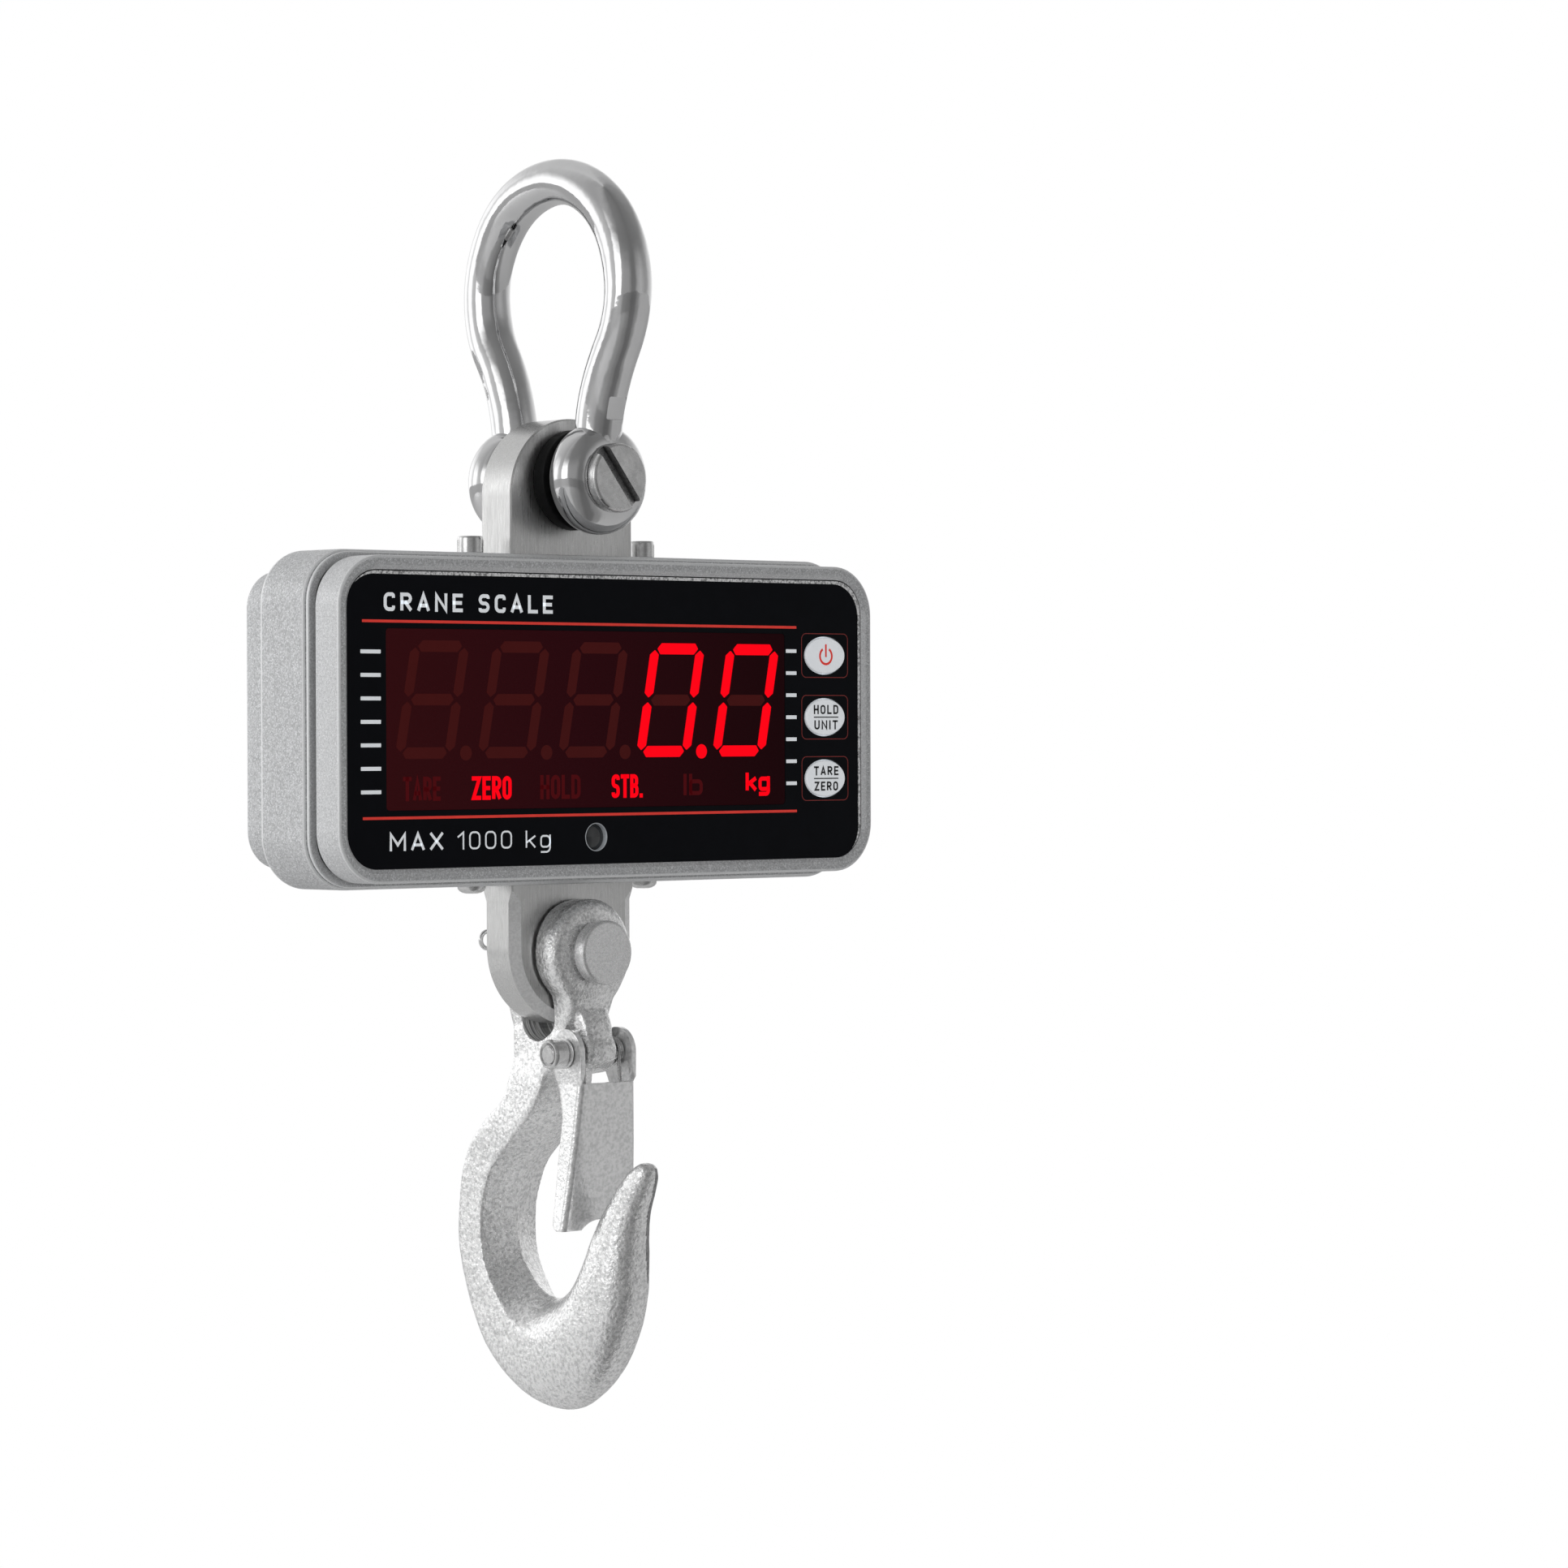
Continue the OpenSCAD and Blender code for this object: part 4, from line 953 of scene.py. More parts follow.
def screws():
    a = [knurled_socket((s * 30, 0, HZ + 44.2), "top_screw_%d" % i) for i, s in enumerate((1, -1))]
    o = join("top_screws_turned", a)
    bevel(o, 0.08, 1, 50)
    smooth(o, 40)
    put(o, "scale", "screw", ("top_screws",))

    low = []
    for s in (1, -1):
        prof = [(0, -46.4), (1.6, -46.4), (2.5, -46.2), (3.3, -45.75), (3.72, -45.2), (3.8, -44.8), (3.8, -44.3), (3.7, -44.2), (2.0, -44.2), (2.0, -34), (0, -34)]
        b = lathe("low", prof, "z", (s * 30, 0, HZ), 64)
        x1 = prism("c", [(s * 30 - 1.9, -0.4), (s * 30 + 1.9, -0.4), (s * 30 + 1.9, 0.4), (s * 30 - 1.9, 0.4)], "z", HZ - 48, HZ - 45.3)
        x2 = prism("c", [(s * 30 - 0.4, -1.9), (s * 30 + 0.4, -1.9), (s * 30 + 0.4, 1.9), (s * 30 - 0.4, 1.9)], "z", HZ - 48, HZ - 45.3)
        boolean(b, [x1, x2])
        low.append(b)
    o = join("bottom_screws_turned", low)
    smooth(o, 35)
    put(o, "scale", "screw", ("bottom_screws",))

    rear = []
    for sx in (1, -1):
        for sz in (1, -1):
            prof = [(0, -20.4), (2.0, -20.4), (2.0, 16.5), (3.4, 16.5), (3.5, 16.7), (3.5, 19.1), (3.35, 19.45), (3.05, 19.6), (0, 19.6)]
            b = lathe("rs", prof, "y", (sx * 80, 0, HZ + sz * 32.5), 56)
            h = prism("c", [(sx * 80 + 1.73 * math.cos(math.radians(60 * i + 20)), HZ + sz * 32.5 + 1.73 * math.sin(math.radians(60 * i + 20))) for i in range(6)], "y", 17.4, 24)
            boolean(b, h)
            rear.append(b)
    o = join("shell_screws_turned", rear)
    smooth(o, 35)
    put(o, "scale", "screw", ("shell_screws",))

    ds = []
    for x in (-83.3, -30.7):
        prof = [(0, 12), (1.5, 12), (1.5, 20), (2.55, 20), (2.6, 20.2), (2.6, 20.9), (2.45, 21.25), (2.1, 21.5), (1.5, 21.65), (0.8, 21.7), (0, 21.7)]
        b = lathe("ds", prof, "y", (x, 0, HZ), 48)
        x1 = prism("c", [(x - 1.4, HZ - 0.3), (x + 1.4, HZ - 0.3), (x + 1.4, HZ + 0.3), (x - 1.4, HZ + 0.3)], "y", 20.8, 24)
        x2 = prism("c", [(x - 0.3, HZ - 1.4), (x + 0.3, HZ - 1.4), (x + 0.3, HZ + 1.4), (x - 0.3, HZ + 1.4)], "y", 20.8, 24)
        boolean(b, [x1, x2])
        ds.append(b)
    o = join("battery_door_screws_turned", ds)
    smooth(o, 35)
    put(o, "scale", "screw", ("battery_door_screws",))

    at = (60, 0, HZ - 20)
    prof = [(2.8, 9.5), (2.8, 21.1), (3.15, 21.5), (5.5, 21.5), (5.9, 21.3), (6.0, 21.0), (6.0, 20.0), (4.4, 20.0), (4.4, 17.0), (5.8, 17.0), (5.8, 14.4), (4.4, 14.4), (4.4, 7.0), (0, 7.0), (0, 9.5)]
    o = lathe("charge_socket_moulded", prof, "y", at, 64)
    smooth(o, 35)
    put(o, "scale", "plastic", ("charge_socket",))
    o = lathe("charge_pin_turned", [(0, 9.5), (1.0, 9.5), (1.0, 19.1), (0.85, 19.4), (0.5, 19.5), (0, 19.5)], "y", at, 32)
    smooth(o, 35)
    put(o, "scale", "brass", ("charge_pin",))


screws()


# ------------------------------------------------------------------ display and keys
FY = -24.2
DIGIT_X0, PITCH, SLANT, MID = -61.87, 27.14, 0.188, 5.15
KX, KZ = 76.0, (17.6, 0.5, -16.5)


def seg_shapes(cx):
    """The seven segments and the point of one digit, as polygons in X and Z of the housing."""
    def sl(p):
        return (cx + p[0] + SLANT * p[1], HZ + MID + p[1])
    t, tip = 1.5, 1.25
    out = {}
    for k, z in (("a", 13.85), ("g", 0.0), ("d", -13.85)):
        hw = 7.25 if k != "g" else 7.0
        out[k] = [sl(p) for p in ((-hw, z), (-hw + tip, z + t), (hw - tip, z + t), (hw, z), (hw - tip, z - t), (-hw + tip, z - t))]
    for k, x, z0, z1 in (("f", -8.05, 0.65, 13.5), ("b", 8.05, 0.65, 13.5), ("e", -8.05, -13.5, -0.55), ("c", 8.05, -13.5, -0.55)):
        w = 1.55
        out[k] = [sl(p) for p in ((x, z0), (x + w, z0 + tip), (x + w, z1 - tip), (x, z1), (x - w, z1 - tip), (x - w, z0 + tip))]
    return out


def rounded(poly, r=0.22, n=2):
    """Softens a polygon's corners."""
    out = []
    N = len(poly)
    for i in range(N):
        p, a, b = Vector(poly[i]), Vector(poly[i - 1]), Vector(poly[(i + 1) % N])
        u, v = (a - p), (b - p)
        d = min(r, u.length * 0.45, v.length * 0.45)
        u.normalize()
        v.normalize()
        s, e = p + u * d, p + v * d
        for k in range(n + 1):
            t = k / n
            q = s * (1 - t) ** 2 + p * 2 * t * (1 - t) + e * t ** 2
            out.append((q.x, q.y))
    return out


def display():
    # overlay with its openings, and the filter
    o = refine("overlay_panel", "scale", "panel", 0.12, 2)
    w = yslab("display_window_moulded", [(68.95, 23.5, 1.0, -23.4), (68.95, 23.5, 1.0, -24.12), (68.87, 23.42, 0.92, -24.2)], cx=-7.95, n=6)
    smooth(w, 35)
    put(w, "scale", "window", ("display_window",))

    lit, ghost, words = [], [], []
    for i in range(5):
        cx = DIGIT_X0 + PITCH * i
        shapes = seg_shapes(cx)
        for k, poly in shapes.items():
            on = i >= 3 and k != "g"
            (lit if on else ghost).append(plate("seg", rounded(poly), FY, 0.035 if on else 0.02))
        dx = cx + 10.95 + 0.188 * 0
        if i < 4:
            on = i == 3
            (lit if on else ghost).append(plate("seg", cylp(1.95, 28, (dx, HZ - 8.75)), FY, 0.035 if on else 0.02))
    for word, on, x0, x1, z0, z1 in (("TARE", 0, -71.6, -59.3, -21.1, -14.8), ("ZERO", 1, -49.0, -35.7, -21.05, -14.85),
                                     ("HOLD", 0, -26.0, -12.2, -21.1, -14.7), ("STB.", 1, -1.4, 9.5, -21.05, -14.75),
                                     ("lb", 0, 24.0, 30.9, -20.6, -14.8), ("kg", 1, 46.5, 55.4, -19.75, -14.45)):
        (lit if on else words).append(text("word", word, x0, x1, HZ + z0, HZ + z1, FY, 0.035 if on else 0.02, w=1.12, gap=0.22, rc=0.2))
    o = join("words_unlit", words)
    put(o, "scale", "ghost2")
    o = join("digits_lit", lit)
    put(o, "scale", "lit")
    o = join("digits_unlit", ghost)
    put(o, "scale", "ghost")

    # printed artwork
    white, red, dred = [], [], []
    for i in range(7):
        zl = 17.45 - 6.02 * i
        zr = 18.75 - 6.08 * i
        white.append(plate("t", [(x, HZ + zl + z) for x, z in [(-81.9 + a, b) for a, b in rr(3.25, 0.5, 0.12, 2)]], FY))
        white.append(plate("t", [(x, HZ + zr + z) for x, z in [(63.45 + a, b) for a, b in rr(1.95, 0.5, 0.12, 2)]], FY))
    white.append(text("title", "CRANE SCALE", -77.6, -21.5, HZ + 27.9, HZ + 32.7, FY, w=0.95, gap=0.62))
    white.append(text("range", "MAX", -76.0, -58.5, HZ - 33.9, HZ - 29.2, FY, w=0.75, gap=0.5))
    white.append(text("range", "1000 kg", -53.8, -22.5, HZ - 33.9, HZ - 29.2, FY, w=0.48, gap=0.5))
    for z in (25.3, -25.4):
        red.append(plate("l", [(-9.6 + a, HZ + z + b) for a, b in rr(75.0, 0.36, 0.1, 2)], FY))
    o = join("panel_print_pale", white)
    put(o, "scale", "print_white")
    o = join("panel_print_red", red)
    put(o, "scale", "print_red")
    for z in KZ:
        ring = loft("r", [[(KX + a, y, HZ + z + b) for a, b in rr(w, h, r, 6)] for w, h, r, y in
                    ((8.75, 6.15, 1.7, FY), (8.75, 6.15, 1.7, FY - 0.03), (8.55, 5.95, 1.5, FY - 0.03), (8.55, 5.95, 1.5, FY))], loop=True)
        dred.append(ring)
    o = join("key_frames_printed", dred)
    put(o, "scale", "print_dark_red")

    # receiver window: a bright rim with a dark lens set into it
    rim = lathe("ir_rim_turned", [(3.55, -22.4), (3.55, -24.1), (3.6, -24.25), (3.7, -24.3), (3.78, -24.25), (3.8, -24.1), (3.8, -23.4), (4.3, -23.4), (4.3, -22.4)], "y", (-6.8, 0, HZ - 31.4), 56)
    smooth(rim, 35)
    put(rim, "scale", "print_grey")
    lens = lathe("ir_window_moulded", [(0, -23.5), (1.2, -23.46), (2.2, -23.32), (3.0, -23.1), (3.5, -22.85), (3.5, -22.4), (0, -22.4)], "y", (-6.8, 0, HZ - 31.4), 56)
    smooth(lens, 35)
    put(lens, "scale", "lens", ("ir_window",))

    # keys: domed caps with a printed legend each
    def cap(name, z, body, node):
        rings = []
        n = 64
        for k, y in ((0.0, -22.4), (0.0, -24.2), (0.06, -24.45), (0.22, -24.6), (0.55, -24.68), (2.0, -24.7), (4.2, -24.72)):
            rings.append([(KX + (7.3 - k) * math.cos(a), y, HZ + z + (4.95 - min(k, 4.2)) * math.sin(a)) for a in np.linspace(0, 2 * math.pi, n, endpoint=False)])
        stem = [(3.6, -22.4), (3.6, -21.1)]
        rings2 = [[(KX + 8.6 * math.cos(a), y, HZ + z + 6.25 * math.sin(a)) for a in np.linspace(0, 2 * math.pi, n, endpoint=False)] for y in (-21.15, -20.3)]
        rings3 = [[(KX + r * math.cos(a), y, HZ + z + r * math.sin(a)) for a in np.linspace(0, 2 * math.pi, n, endpoint=False)] for r, y in ((2.4, -20.35), (2.4, -19.0))]
        stemr = [[(KX + r * math.cos(a), y, HZ + z + r * math.sin(a)) for a in np.linspace(0, 2 * math.pi, n, endpoint=False)] for r, y in stem]
        o = join(name, [loft("k", rings), loft("k", stemr), loft("k", rings2), loft("k", rings3)])
        smooth(o, 40)
        put(o, body, "key", (node,))

    cap("power_key_moulded", KZ[0], "power_key", "power_key")
    cap("hold_key_moulded", KZ[1], "hold_key", "hold_key")
    cap("tare_key_moulded", KZ[2], "tare_key", "tare_key")
    ky = -24.7
    # power symbol: a broken ring and a stroke
    inner, outer = [], []
    for i in range(41):
        a = math.radians(90 + 32 + (360 - 64) * i / 40)
        inner.append((KX + 1.9 * 1.0 * math.cos(a), HZ + KZ[0] - 0.15 + 1.9 * math.sin(a)))
        outer.append((KX + 2.55 * 1.0 * math.cos(a), HZ + KZ[0] - 0.15 + 2.55 * math.sin(a)))
    verts = [(x, y, z) for y in (ky, ky - 0.04) for pts in (inner, outer) for x, z in pts]
    k, faces = 41, []
    for i in range(40):
        faces.append((i, i + 1, k + i + 1, k + i))
        faces.append((2 * k + i, 3 * k + i, 3 * k + i + 1, 2 * k + i + 1))
        faces.append((i, 2 * k + i, 2 * k + i + 1, i + 1))
        faces.append((k + i, k + i + 1, 3 * k + i + 1, 3 * k + i))
    faces.append((0, k, 3 * k, 2 * k))
    faces.append((k - 1, 2 * k - 1, 4 * k - 1, 3 * k - 1)[::-1])
    ring = add("p", verts, faces)
    bar = plate("p", [(KX + a, HZ + KZ[0] + 1.35 + b) for a, b in rr(0.3, 1.8, 0.15, 3)], ky, 0.04)
    o = join("power_symbol_printed", [ring, bar])
    put(o, "power_key", "print_red")
    for nm, body, z, up, dn in (("hold_legend_printed", "hold_key", KZ[1], "HOLD", "UNIT"), ("tare_legend_printed", "tare_key", KZ[2], "TARE", "ZERO")):
        a = text("w", up, KX - 4.6, KX + 4.6, HZ + z + 0.85, HZ + z + 3.4, ky, 0.04, w=0.5, gap=0.5)
        b = text("w", dn, KX - 4.4, KX + 4.4, HZ + z - 3.4, HZ + z - 0.85, ky, 0.04, w=0.5, gap=0.5)
        c = plate("w", [(KX + p, HZ + z + q) for p, q in rr(4.6, 0.16, 0.08, 2)], ky, 0.04)
        o = join(nm, [a, b, c])
        put(o, body, "print_black")


display()


# ------------------------------------------------------------------ hook
PAIRS = [
    ((12.4, -84), (-7.2, -81), 7.6, 3.0),
    ((12.0, -92), (-7.2, -88), 8.0, 3.0), ((12.5, -98.6), (-6.4, -96.5), 9.2, 3.0), ((15.3, -104), (-4, -102.6), 9.6, 3.0),
    ((21.5, -109.0), (0.5, -108.5), 9.9, 3.0), ((28.0, -115.8), (7.5, -115.2), 10.0, 3.0), ((31.5, -124.0), (14.2, -121.7), 10.0, 3.2),
    ((33.0, -133), (18.2, -130.5), 10.0, 3.4), ((33.2, -142), (18.6, -139), 10.0, 3.8), ((31.4, -151.3), (16.6, -146.5), 10.0, 4.6),
    ((27.8, -160.6), (12, -152.2), 10.0, 5.6), ((21.9, -170.3), (6.5, -155.6), 10.0, 7.5), ((13.7, -179.2), (2, -156.7), 9.9, 9.0),
    ((4.5, -185.4), (-1, -156.7), 9.8, 9.0), ((-4.2, -186.9), (-3.8, -156), 9.8, 9.0), ((-12.9, -184.3), (-7, -154.3), 9.8, 9.0),
    ((-21.8, -176.4), (-10.5, -151.5), 9.6, 9.0), ((-28.1, -166.2), (-13.6, -147.5), 9.2, 8.0), ((-31.8, -155.6), (-15.8, -143.6), 8.6, 7.2),
    ((-32.9, -146), (-17.6, -139.8), 7.8, 6.5), ((-33.3, -139), (-20, -135.2), 6.9, 5.4), ((-34.7, -132.5), (-23.5, -129.6), 5.9, 4.5),
    ((-37.2, -126.7), (-28, -123.7), 4.9, 3.4), ((-38.8, -122.5), (-32, -119.8), 3.9, 2.6), ((-39.1, -119.8), (-35.5, -117.9), 2.6, 1.6)]


def catmull(ctrl, sub):
    P = [np.array(c, float) for c in ctrl]
    P = [2 * P[0] - P[1]] + P + [2 * P[-1] - P[-2]]
    out = []
    for i in range(1, len(P) - 2):
        for k in range(sub):
            t = k / sub
            p0, p1, p2, p3 = P[i - 1], P[i], P[i + 1], P[i + 2]
            out.append(0.5 * (2 * p1 + (p2 - p0) * t + (2 * p0 - 5 * p1 + 4 * p2 - p3) * t * t + (3 * p1 - p0 - 3 * p2 + p3) * t ** 3))
    out.append(P[-2])
    return out


def hook_ring(O, I, a, hr, k, n, rf=1.0):
    """One section of the hook: flat-sided with a roof-shaped inner edge, turning to a full round lens towards the point."""
    L = float(np.hypot(I[0] - O[0], I[1] - O[1]))
    dy, dz = (I[0] - O[0]) / L, (I[1] - O[1]) / L
    rc = min(2.6, a * 0.5, L * 0.25)
    F, E = [], []
    for i in range(4):
        F.append((0.0, (a - rc) * i / 3.0))
    for i in range(1, 6):
        th = math.radians(90.0 * i / 5)
        F.append((rc - rc * math.cos(th), a - rc + rc * math.sin(th)))
    for i in range(1, 8):
        F.append((rc + (L - hr - rc) * i / 7.0, a))
    for i in range(1, 11):
        t = i / 10.0
        F.append((L - hr + hr * t, a * (1 - t) ** (0.62 + 0.33 * rf)))
    m = 0.62 * L
    for i in range(16):
        t = math.pi / 2 * i / 15.0
        E.append((m - m * max(math.cos(t), 0.0) ** (2 / n), a * math.sin(t) ** (2 / n)))
    for i in range(1, 11):
        u = i / 10.0
        E.append((m + (L - m) * math.sin(u * math.pi / 2), a * math.cos(u * math.pi / 2)))
    half = [((1 - k) * f[0] + k * e[0], (1 - k) * f[1] + k * e[1]) for f, e in zip(F, E)]
    ring = []
    for s, x in half:
        ring.append((x, O[0] + dy * s, HZ + O[1] + dz * s))
    for s, x in half[-2:0:-1]:
        ring.append((-x, O[0] + dy * s, HZ + O[1] + dz * s))
    return ring


def hook():
    ctrl = [(o[0], o[1], i[0], i[1], a, h) for o, i, a, h in PAIRS]
    st = catmull(ctrl, 5)
    rings = []
    for j, c in enumerate(st):
        q = j / 5.0
        k = min(1.0, max(0.0, (q - 11.0) / 3.2))
        k = k * k * (3 - 2 * k)
        n = float(np.interp(q, (14.0, 15.0, 15.6, 16.3, 17.2, 18.2, 19.5, 21.0, 22.5, 24.5), (2.2, 2.0, 2.2, 2.4, 2.5, 2.5, 2.5, 2.4, 2.35, 2.3)))
        rings.append(hook_ring((c[0], c[1]), (c[2], c[3]), max(c[4], 0.8), max(c[5], 0.6), k, n, min(1.0, max(0.0, (q - 3.5) / 2.0))))
    # rounded end of the point
    endc = np.array((0.0, -37.9, HZ - 118.2))
    for f, push in ((0.82, 0.35), (0.5, 0.62), (0.2, 0.72)):
        last = np.array(rings[len(st) - 1])
        c = last.mean(0)
        shift = (endc - c) * push * 0.9
        rings.append([tuple((p - c) * f + c + shift) for p in last])
    bowl = loft("hook_body_forged", rings)
    parts = []
    for m in (1, -1):
        c1, c2 = 3.2, 0.8
        y0, y1, R = 6.6, 16.45, 14.3
        prof = [(0, y0), (R - c2, y0)]
        for k in range(5):
            a = math.radians(-90 + 90 * k / 4)
            prof.append((R - c2 + c2 * math.cos(a), y0 + c2 + c2 * math.sin(a)))
        for k in range(7):
            a = math.radians(90 * k / 6)
            prof.append((R - c1 + c1 * math.cos(a), y1 - c1 + c1 * math.sin(a)))
        prof.append((0, y1))
        parts.append(lathe("disc", [(r, t * m) for r, t in prof], "y", (0, 0, LO_Z), 72))
    # cheeks below the eyes, waisted, running down into the neck
    sec = [(-66.0, 9.3, 16.3, -16.3, 0.0), (-70.5, 9.6, 16.2, -16.3, 0.0), (-74.5, 8.4, 15.4, -15.9, 0.0), (-77.5, 7.6, 14.6, -15.2, 0.0), (-80.5, 7.45, 13.8, -14.2, 0.0),
           (-83.5, 7.1, 12.9, -12.6, 0.0), (-87.0, 7.7, 12.0, -10.0, 0.0), (-91.0, 7.9, 11.3, -8.0, 0.0), (-95.0, 8.6, 10.6, -6.6, 0.0)]
    rings = []
    for z, hx, yr, yf, _ in sec:
        cy, hy = (yr + yf) / 2, (yr - yf) / 2
        rings.append([(x, cy + y, HZ + z) for x, y in rr(hx, hy, 2.4, 6)])
    parts.append(loft("cheeks", rings))
    parts.append(lathe("boss", [(0, -5.1), (4.3, -5.1), (4.9, -4.8), (5.2, -4.2), (5.2, 4.2), (4.9, 4.8), (4.3, 5.1), (0, 5.1)], "x", (0, BOLT[0], BOLT[1]), 48))
    rings = []
    for y, hx, z1, z0 in ((-6.5, 6.0, -77.5, -96.4), (-9.5, 5.7, -77.3, -95.9), (-12.0, 5.5, -77.2, -95.5), (-14.4, 5.3, -77.2, -95.2), (-16.2, 5.0, -78.6, -94.8), (-17.6, 4.6, -82.0, -94.0), (-18.3, 3.9, -85.8, -92.6)):
        cz, hz = (z1 + z0) / 2, (z1 - z0) / 2
        rings.append([(x, y, HZ + cz + z) for x, z in rr(hx, hz, 1.6, 5)])
    parts.append(loft("web", rings))
    o = join("hook_body_forged_", [bowl] + parts)
    m = o.modifiers.new("v", "REMESH")
    m.mode = "VOXEL"
    m.voxel_size = 0.00062
    m.adaptivity = 0.0
    bake(o)
    m = o.modifiers.new("s", "SMOOTH")
    m.factor = 0.5
    m.iterations = 5
    bake(o)
    # forged surface: slow waves and shallow pits, kept off the machined places
    from mathutils import noise as mn
    me = o.data
    nrm = [v.normal.copy() for v in me.vertices]
    for i, v in enumerate(me.vertices):
        p = v.co / MM
        w = mn.noise(p * 0.11) * 0.16 + mn.noise(p * 0.45 + Vector((7, 3, 1))) * 0.05
        w -= max(0.0, mn.noise(p * 0.3 + Vector((1, 9, 4))) - 0.45) * 0.25
        v.co = v.co + nrm[i] * ((w - 0.04) * MM)
    # the dies part along the hook's own plane, so each clevis arm's face has a ridge down its middle
    for v in me.vertices:
        x, y, z = v.co.x / MM, v.co.y / MM, v.co.z / MM - HZ
        if z > -97 and abs(y) > 8.5:
            k = min(1.0, (abs(y) - 8.5) / 4.0) * min(1.0, max(0.0, (z + 97) / 4.0))
            v.co.y -= math.copysign(0.115 * abs(x) * k, y) * MM
    slot = []
    pts = [(-7.2, HZ - 44), (-7.2, HZ - 79.7)] + [(-7.2 * math.cos(math.radians(t)), HZ - 79.7 - 7.2 * math.sin(math.radians(t))) for t in range(6, 175, 6)] + [(7.2, HZ - 79.7), (7.2, HZ - 44)]
    slot.append(prism("c", pts, "x", -30, 30))
    slot.append(lathe("c", [(0, -40), (6.56, -40), (6.56, 40), (0, 40)], "y", (0, 0, LO_Z), 72))
    slot.append(lathe("c", [(0, -20), (2.56, -20), (2.56, 20), (0, 20)], "x", (0, BOLT[0], BOLT[1]), 40))
    boolean(o, slot)
    # a darker band along the outside of the point, on its +X flank only: trimmed-flash texture darkened as painted
    # shade on the flank that turns away
    edge_ = []
    for j, c in enumerate(st):
        if j / 5.0 >= 18.6:
            edge_.append((c[0], c[1]))
    me = o.data
    me.materials.clear()
    for _ in range(3):
        me.materials.append(None)
    flash_and_shade_band = []
    for q0, q1 in zip(edge_[:-1], edge_[1:]):
        for i in range(24):
            flash_and_shade_band.append((q0[0] + (q1[0] - q0[0]) * i / 24, q0[1] + (q1[1] - q0[1]) * i / 24))
    flash_and_shade_band = np.array(flash_and_shade_band)
    for p in me.polygons:
        c, nn = p.center / MM, p.normal
        y, z = c.y, c.z - HZ
        idx = 0
        if abs(c.x) < 16 and ((z > -79.7 and abs(abs(y) - 7.2) < 0.06) or (z <= -79.7 and abs(math.hypot(y, z + 79.7) - 7.2) < 0.06)):
            idx = 1
        # faces by the point's outer edge on its +X flank take the darker band: painted shade over the trimmed-flash
        # texture
        elif y < -26 and z < -119.5 and float(np.interp(-z, (119, 123, 131, 136, 144, 150, 158), (0.6, 0.95, 1.5, 2.3, 3.0, 3.9, 6.0))) < c.x < 6.5 and ((flash_and_shade_band[:, 0] - y) ** 2 + (flash_and_shade_band[:, 1] - z) ** 2).min() < 2.6:
            idx = 2
        p.material_index = idx
    smooth(o, 38, weighted=False)
    put(o, "hook", ["hook", "bored", "flash_and_shade_band"], ("hook_body",), name="hook_body_forged")

    # clevis pin with a flat head, split pin behind
    prof = [(0, -20.8), (7.6, -20.8), (8.15, -20.7), (8.5, -20.4), (8.65, -20.0), (8.65, -17.1), (8.5, -16.8), (8.2, -16.7), (6.5, -16.7), (6.5, 21.0), (5.7, 21.8), (0, 21.8)]
    p = lathe("clevis_pin_turned", prof, "y", (0, 0, LO_Z), 80)
    boolean(p, lathe("c", [(0, -10), (1.5, -10), (1.5, 10), (0, 10)], "x", (0, 18.6, LO_Z), 24))
    bevel(p, 0.12, 1, 45)
    smooth(p, 35)
    put(p, "hook", "pin_zinc", ("clevis_pin",))
    pts = []
    for i in range(25):
        a = math.radians(-150 + 300 * i / 24)
        pts.append((-10.2 - 2.3 * math.cos(a), 18.6 + 0.0, LO_Z + 2.3 * math.sin(a)))
    pts = [(9.6, 18.6, LO_Z - 0.62), (0, 18.6, LO_Z - 0.55), (-7.6, 18.6, LO_Z - 0.62)] + pts[::1] + [(-7.6, 18.6, LO_Z + 0.62), (0, 18.6, LO_Z + 0.55), (7.0, 18.6, LO_Z + 0.62), (9.2, 18.6, LO_Z + 1.3)]
    c = tube("cotter_pin_bent", pts, 0.62, 14)
    turn = Matrix.Translation((0, 0, LO_Z * MM)) @ Matrix.Rotation(math.radians(15), 4, "Y") @ Matrix.Translation((0, 0, -LO_Z * MM))
    c.data.transform(turn)
    smooth(c, 50)
    put(c, "hook", "screw", ("cotter_pin",))

    # latch bolt, its flat head and barrel nut
    y, z = BOLT
    b = lathe("latch_bolt_turned", [(0, -15.9), (2.2, -15.9), (2.45, -15.7), (2.5, -15.4), (2.5, 9.8), (4.0, 9.95), (4.2, 10.1), (4.2, 10.45), (4.0, 10.7), (3.5, 10.75), (0, 10.75)], "x", (0, y, z), 56)
    smooth(b, 35)
    put(b, "hook", "screw", ("latch_bolt",))
    nt = lathe("latch_nut_turned", [(2.52, -15.1), (2.75, -15.35), (3.15, -15.8), (3.45, -15.8), (3.75, -15.55), (3.97, -15.1), (4.0, -14.8), (4.0, -11.6), (3.55, -11.35), (3.55, -11.05), (4.0, -10.85), (4.0, -10.2), (3.85, -9.98), (2.52, -9.95)], "x", (0, y, z), 56)
    smooth(nt, 35)
    put(nt, "hook", "screw", ("latch_nut",))

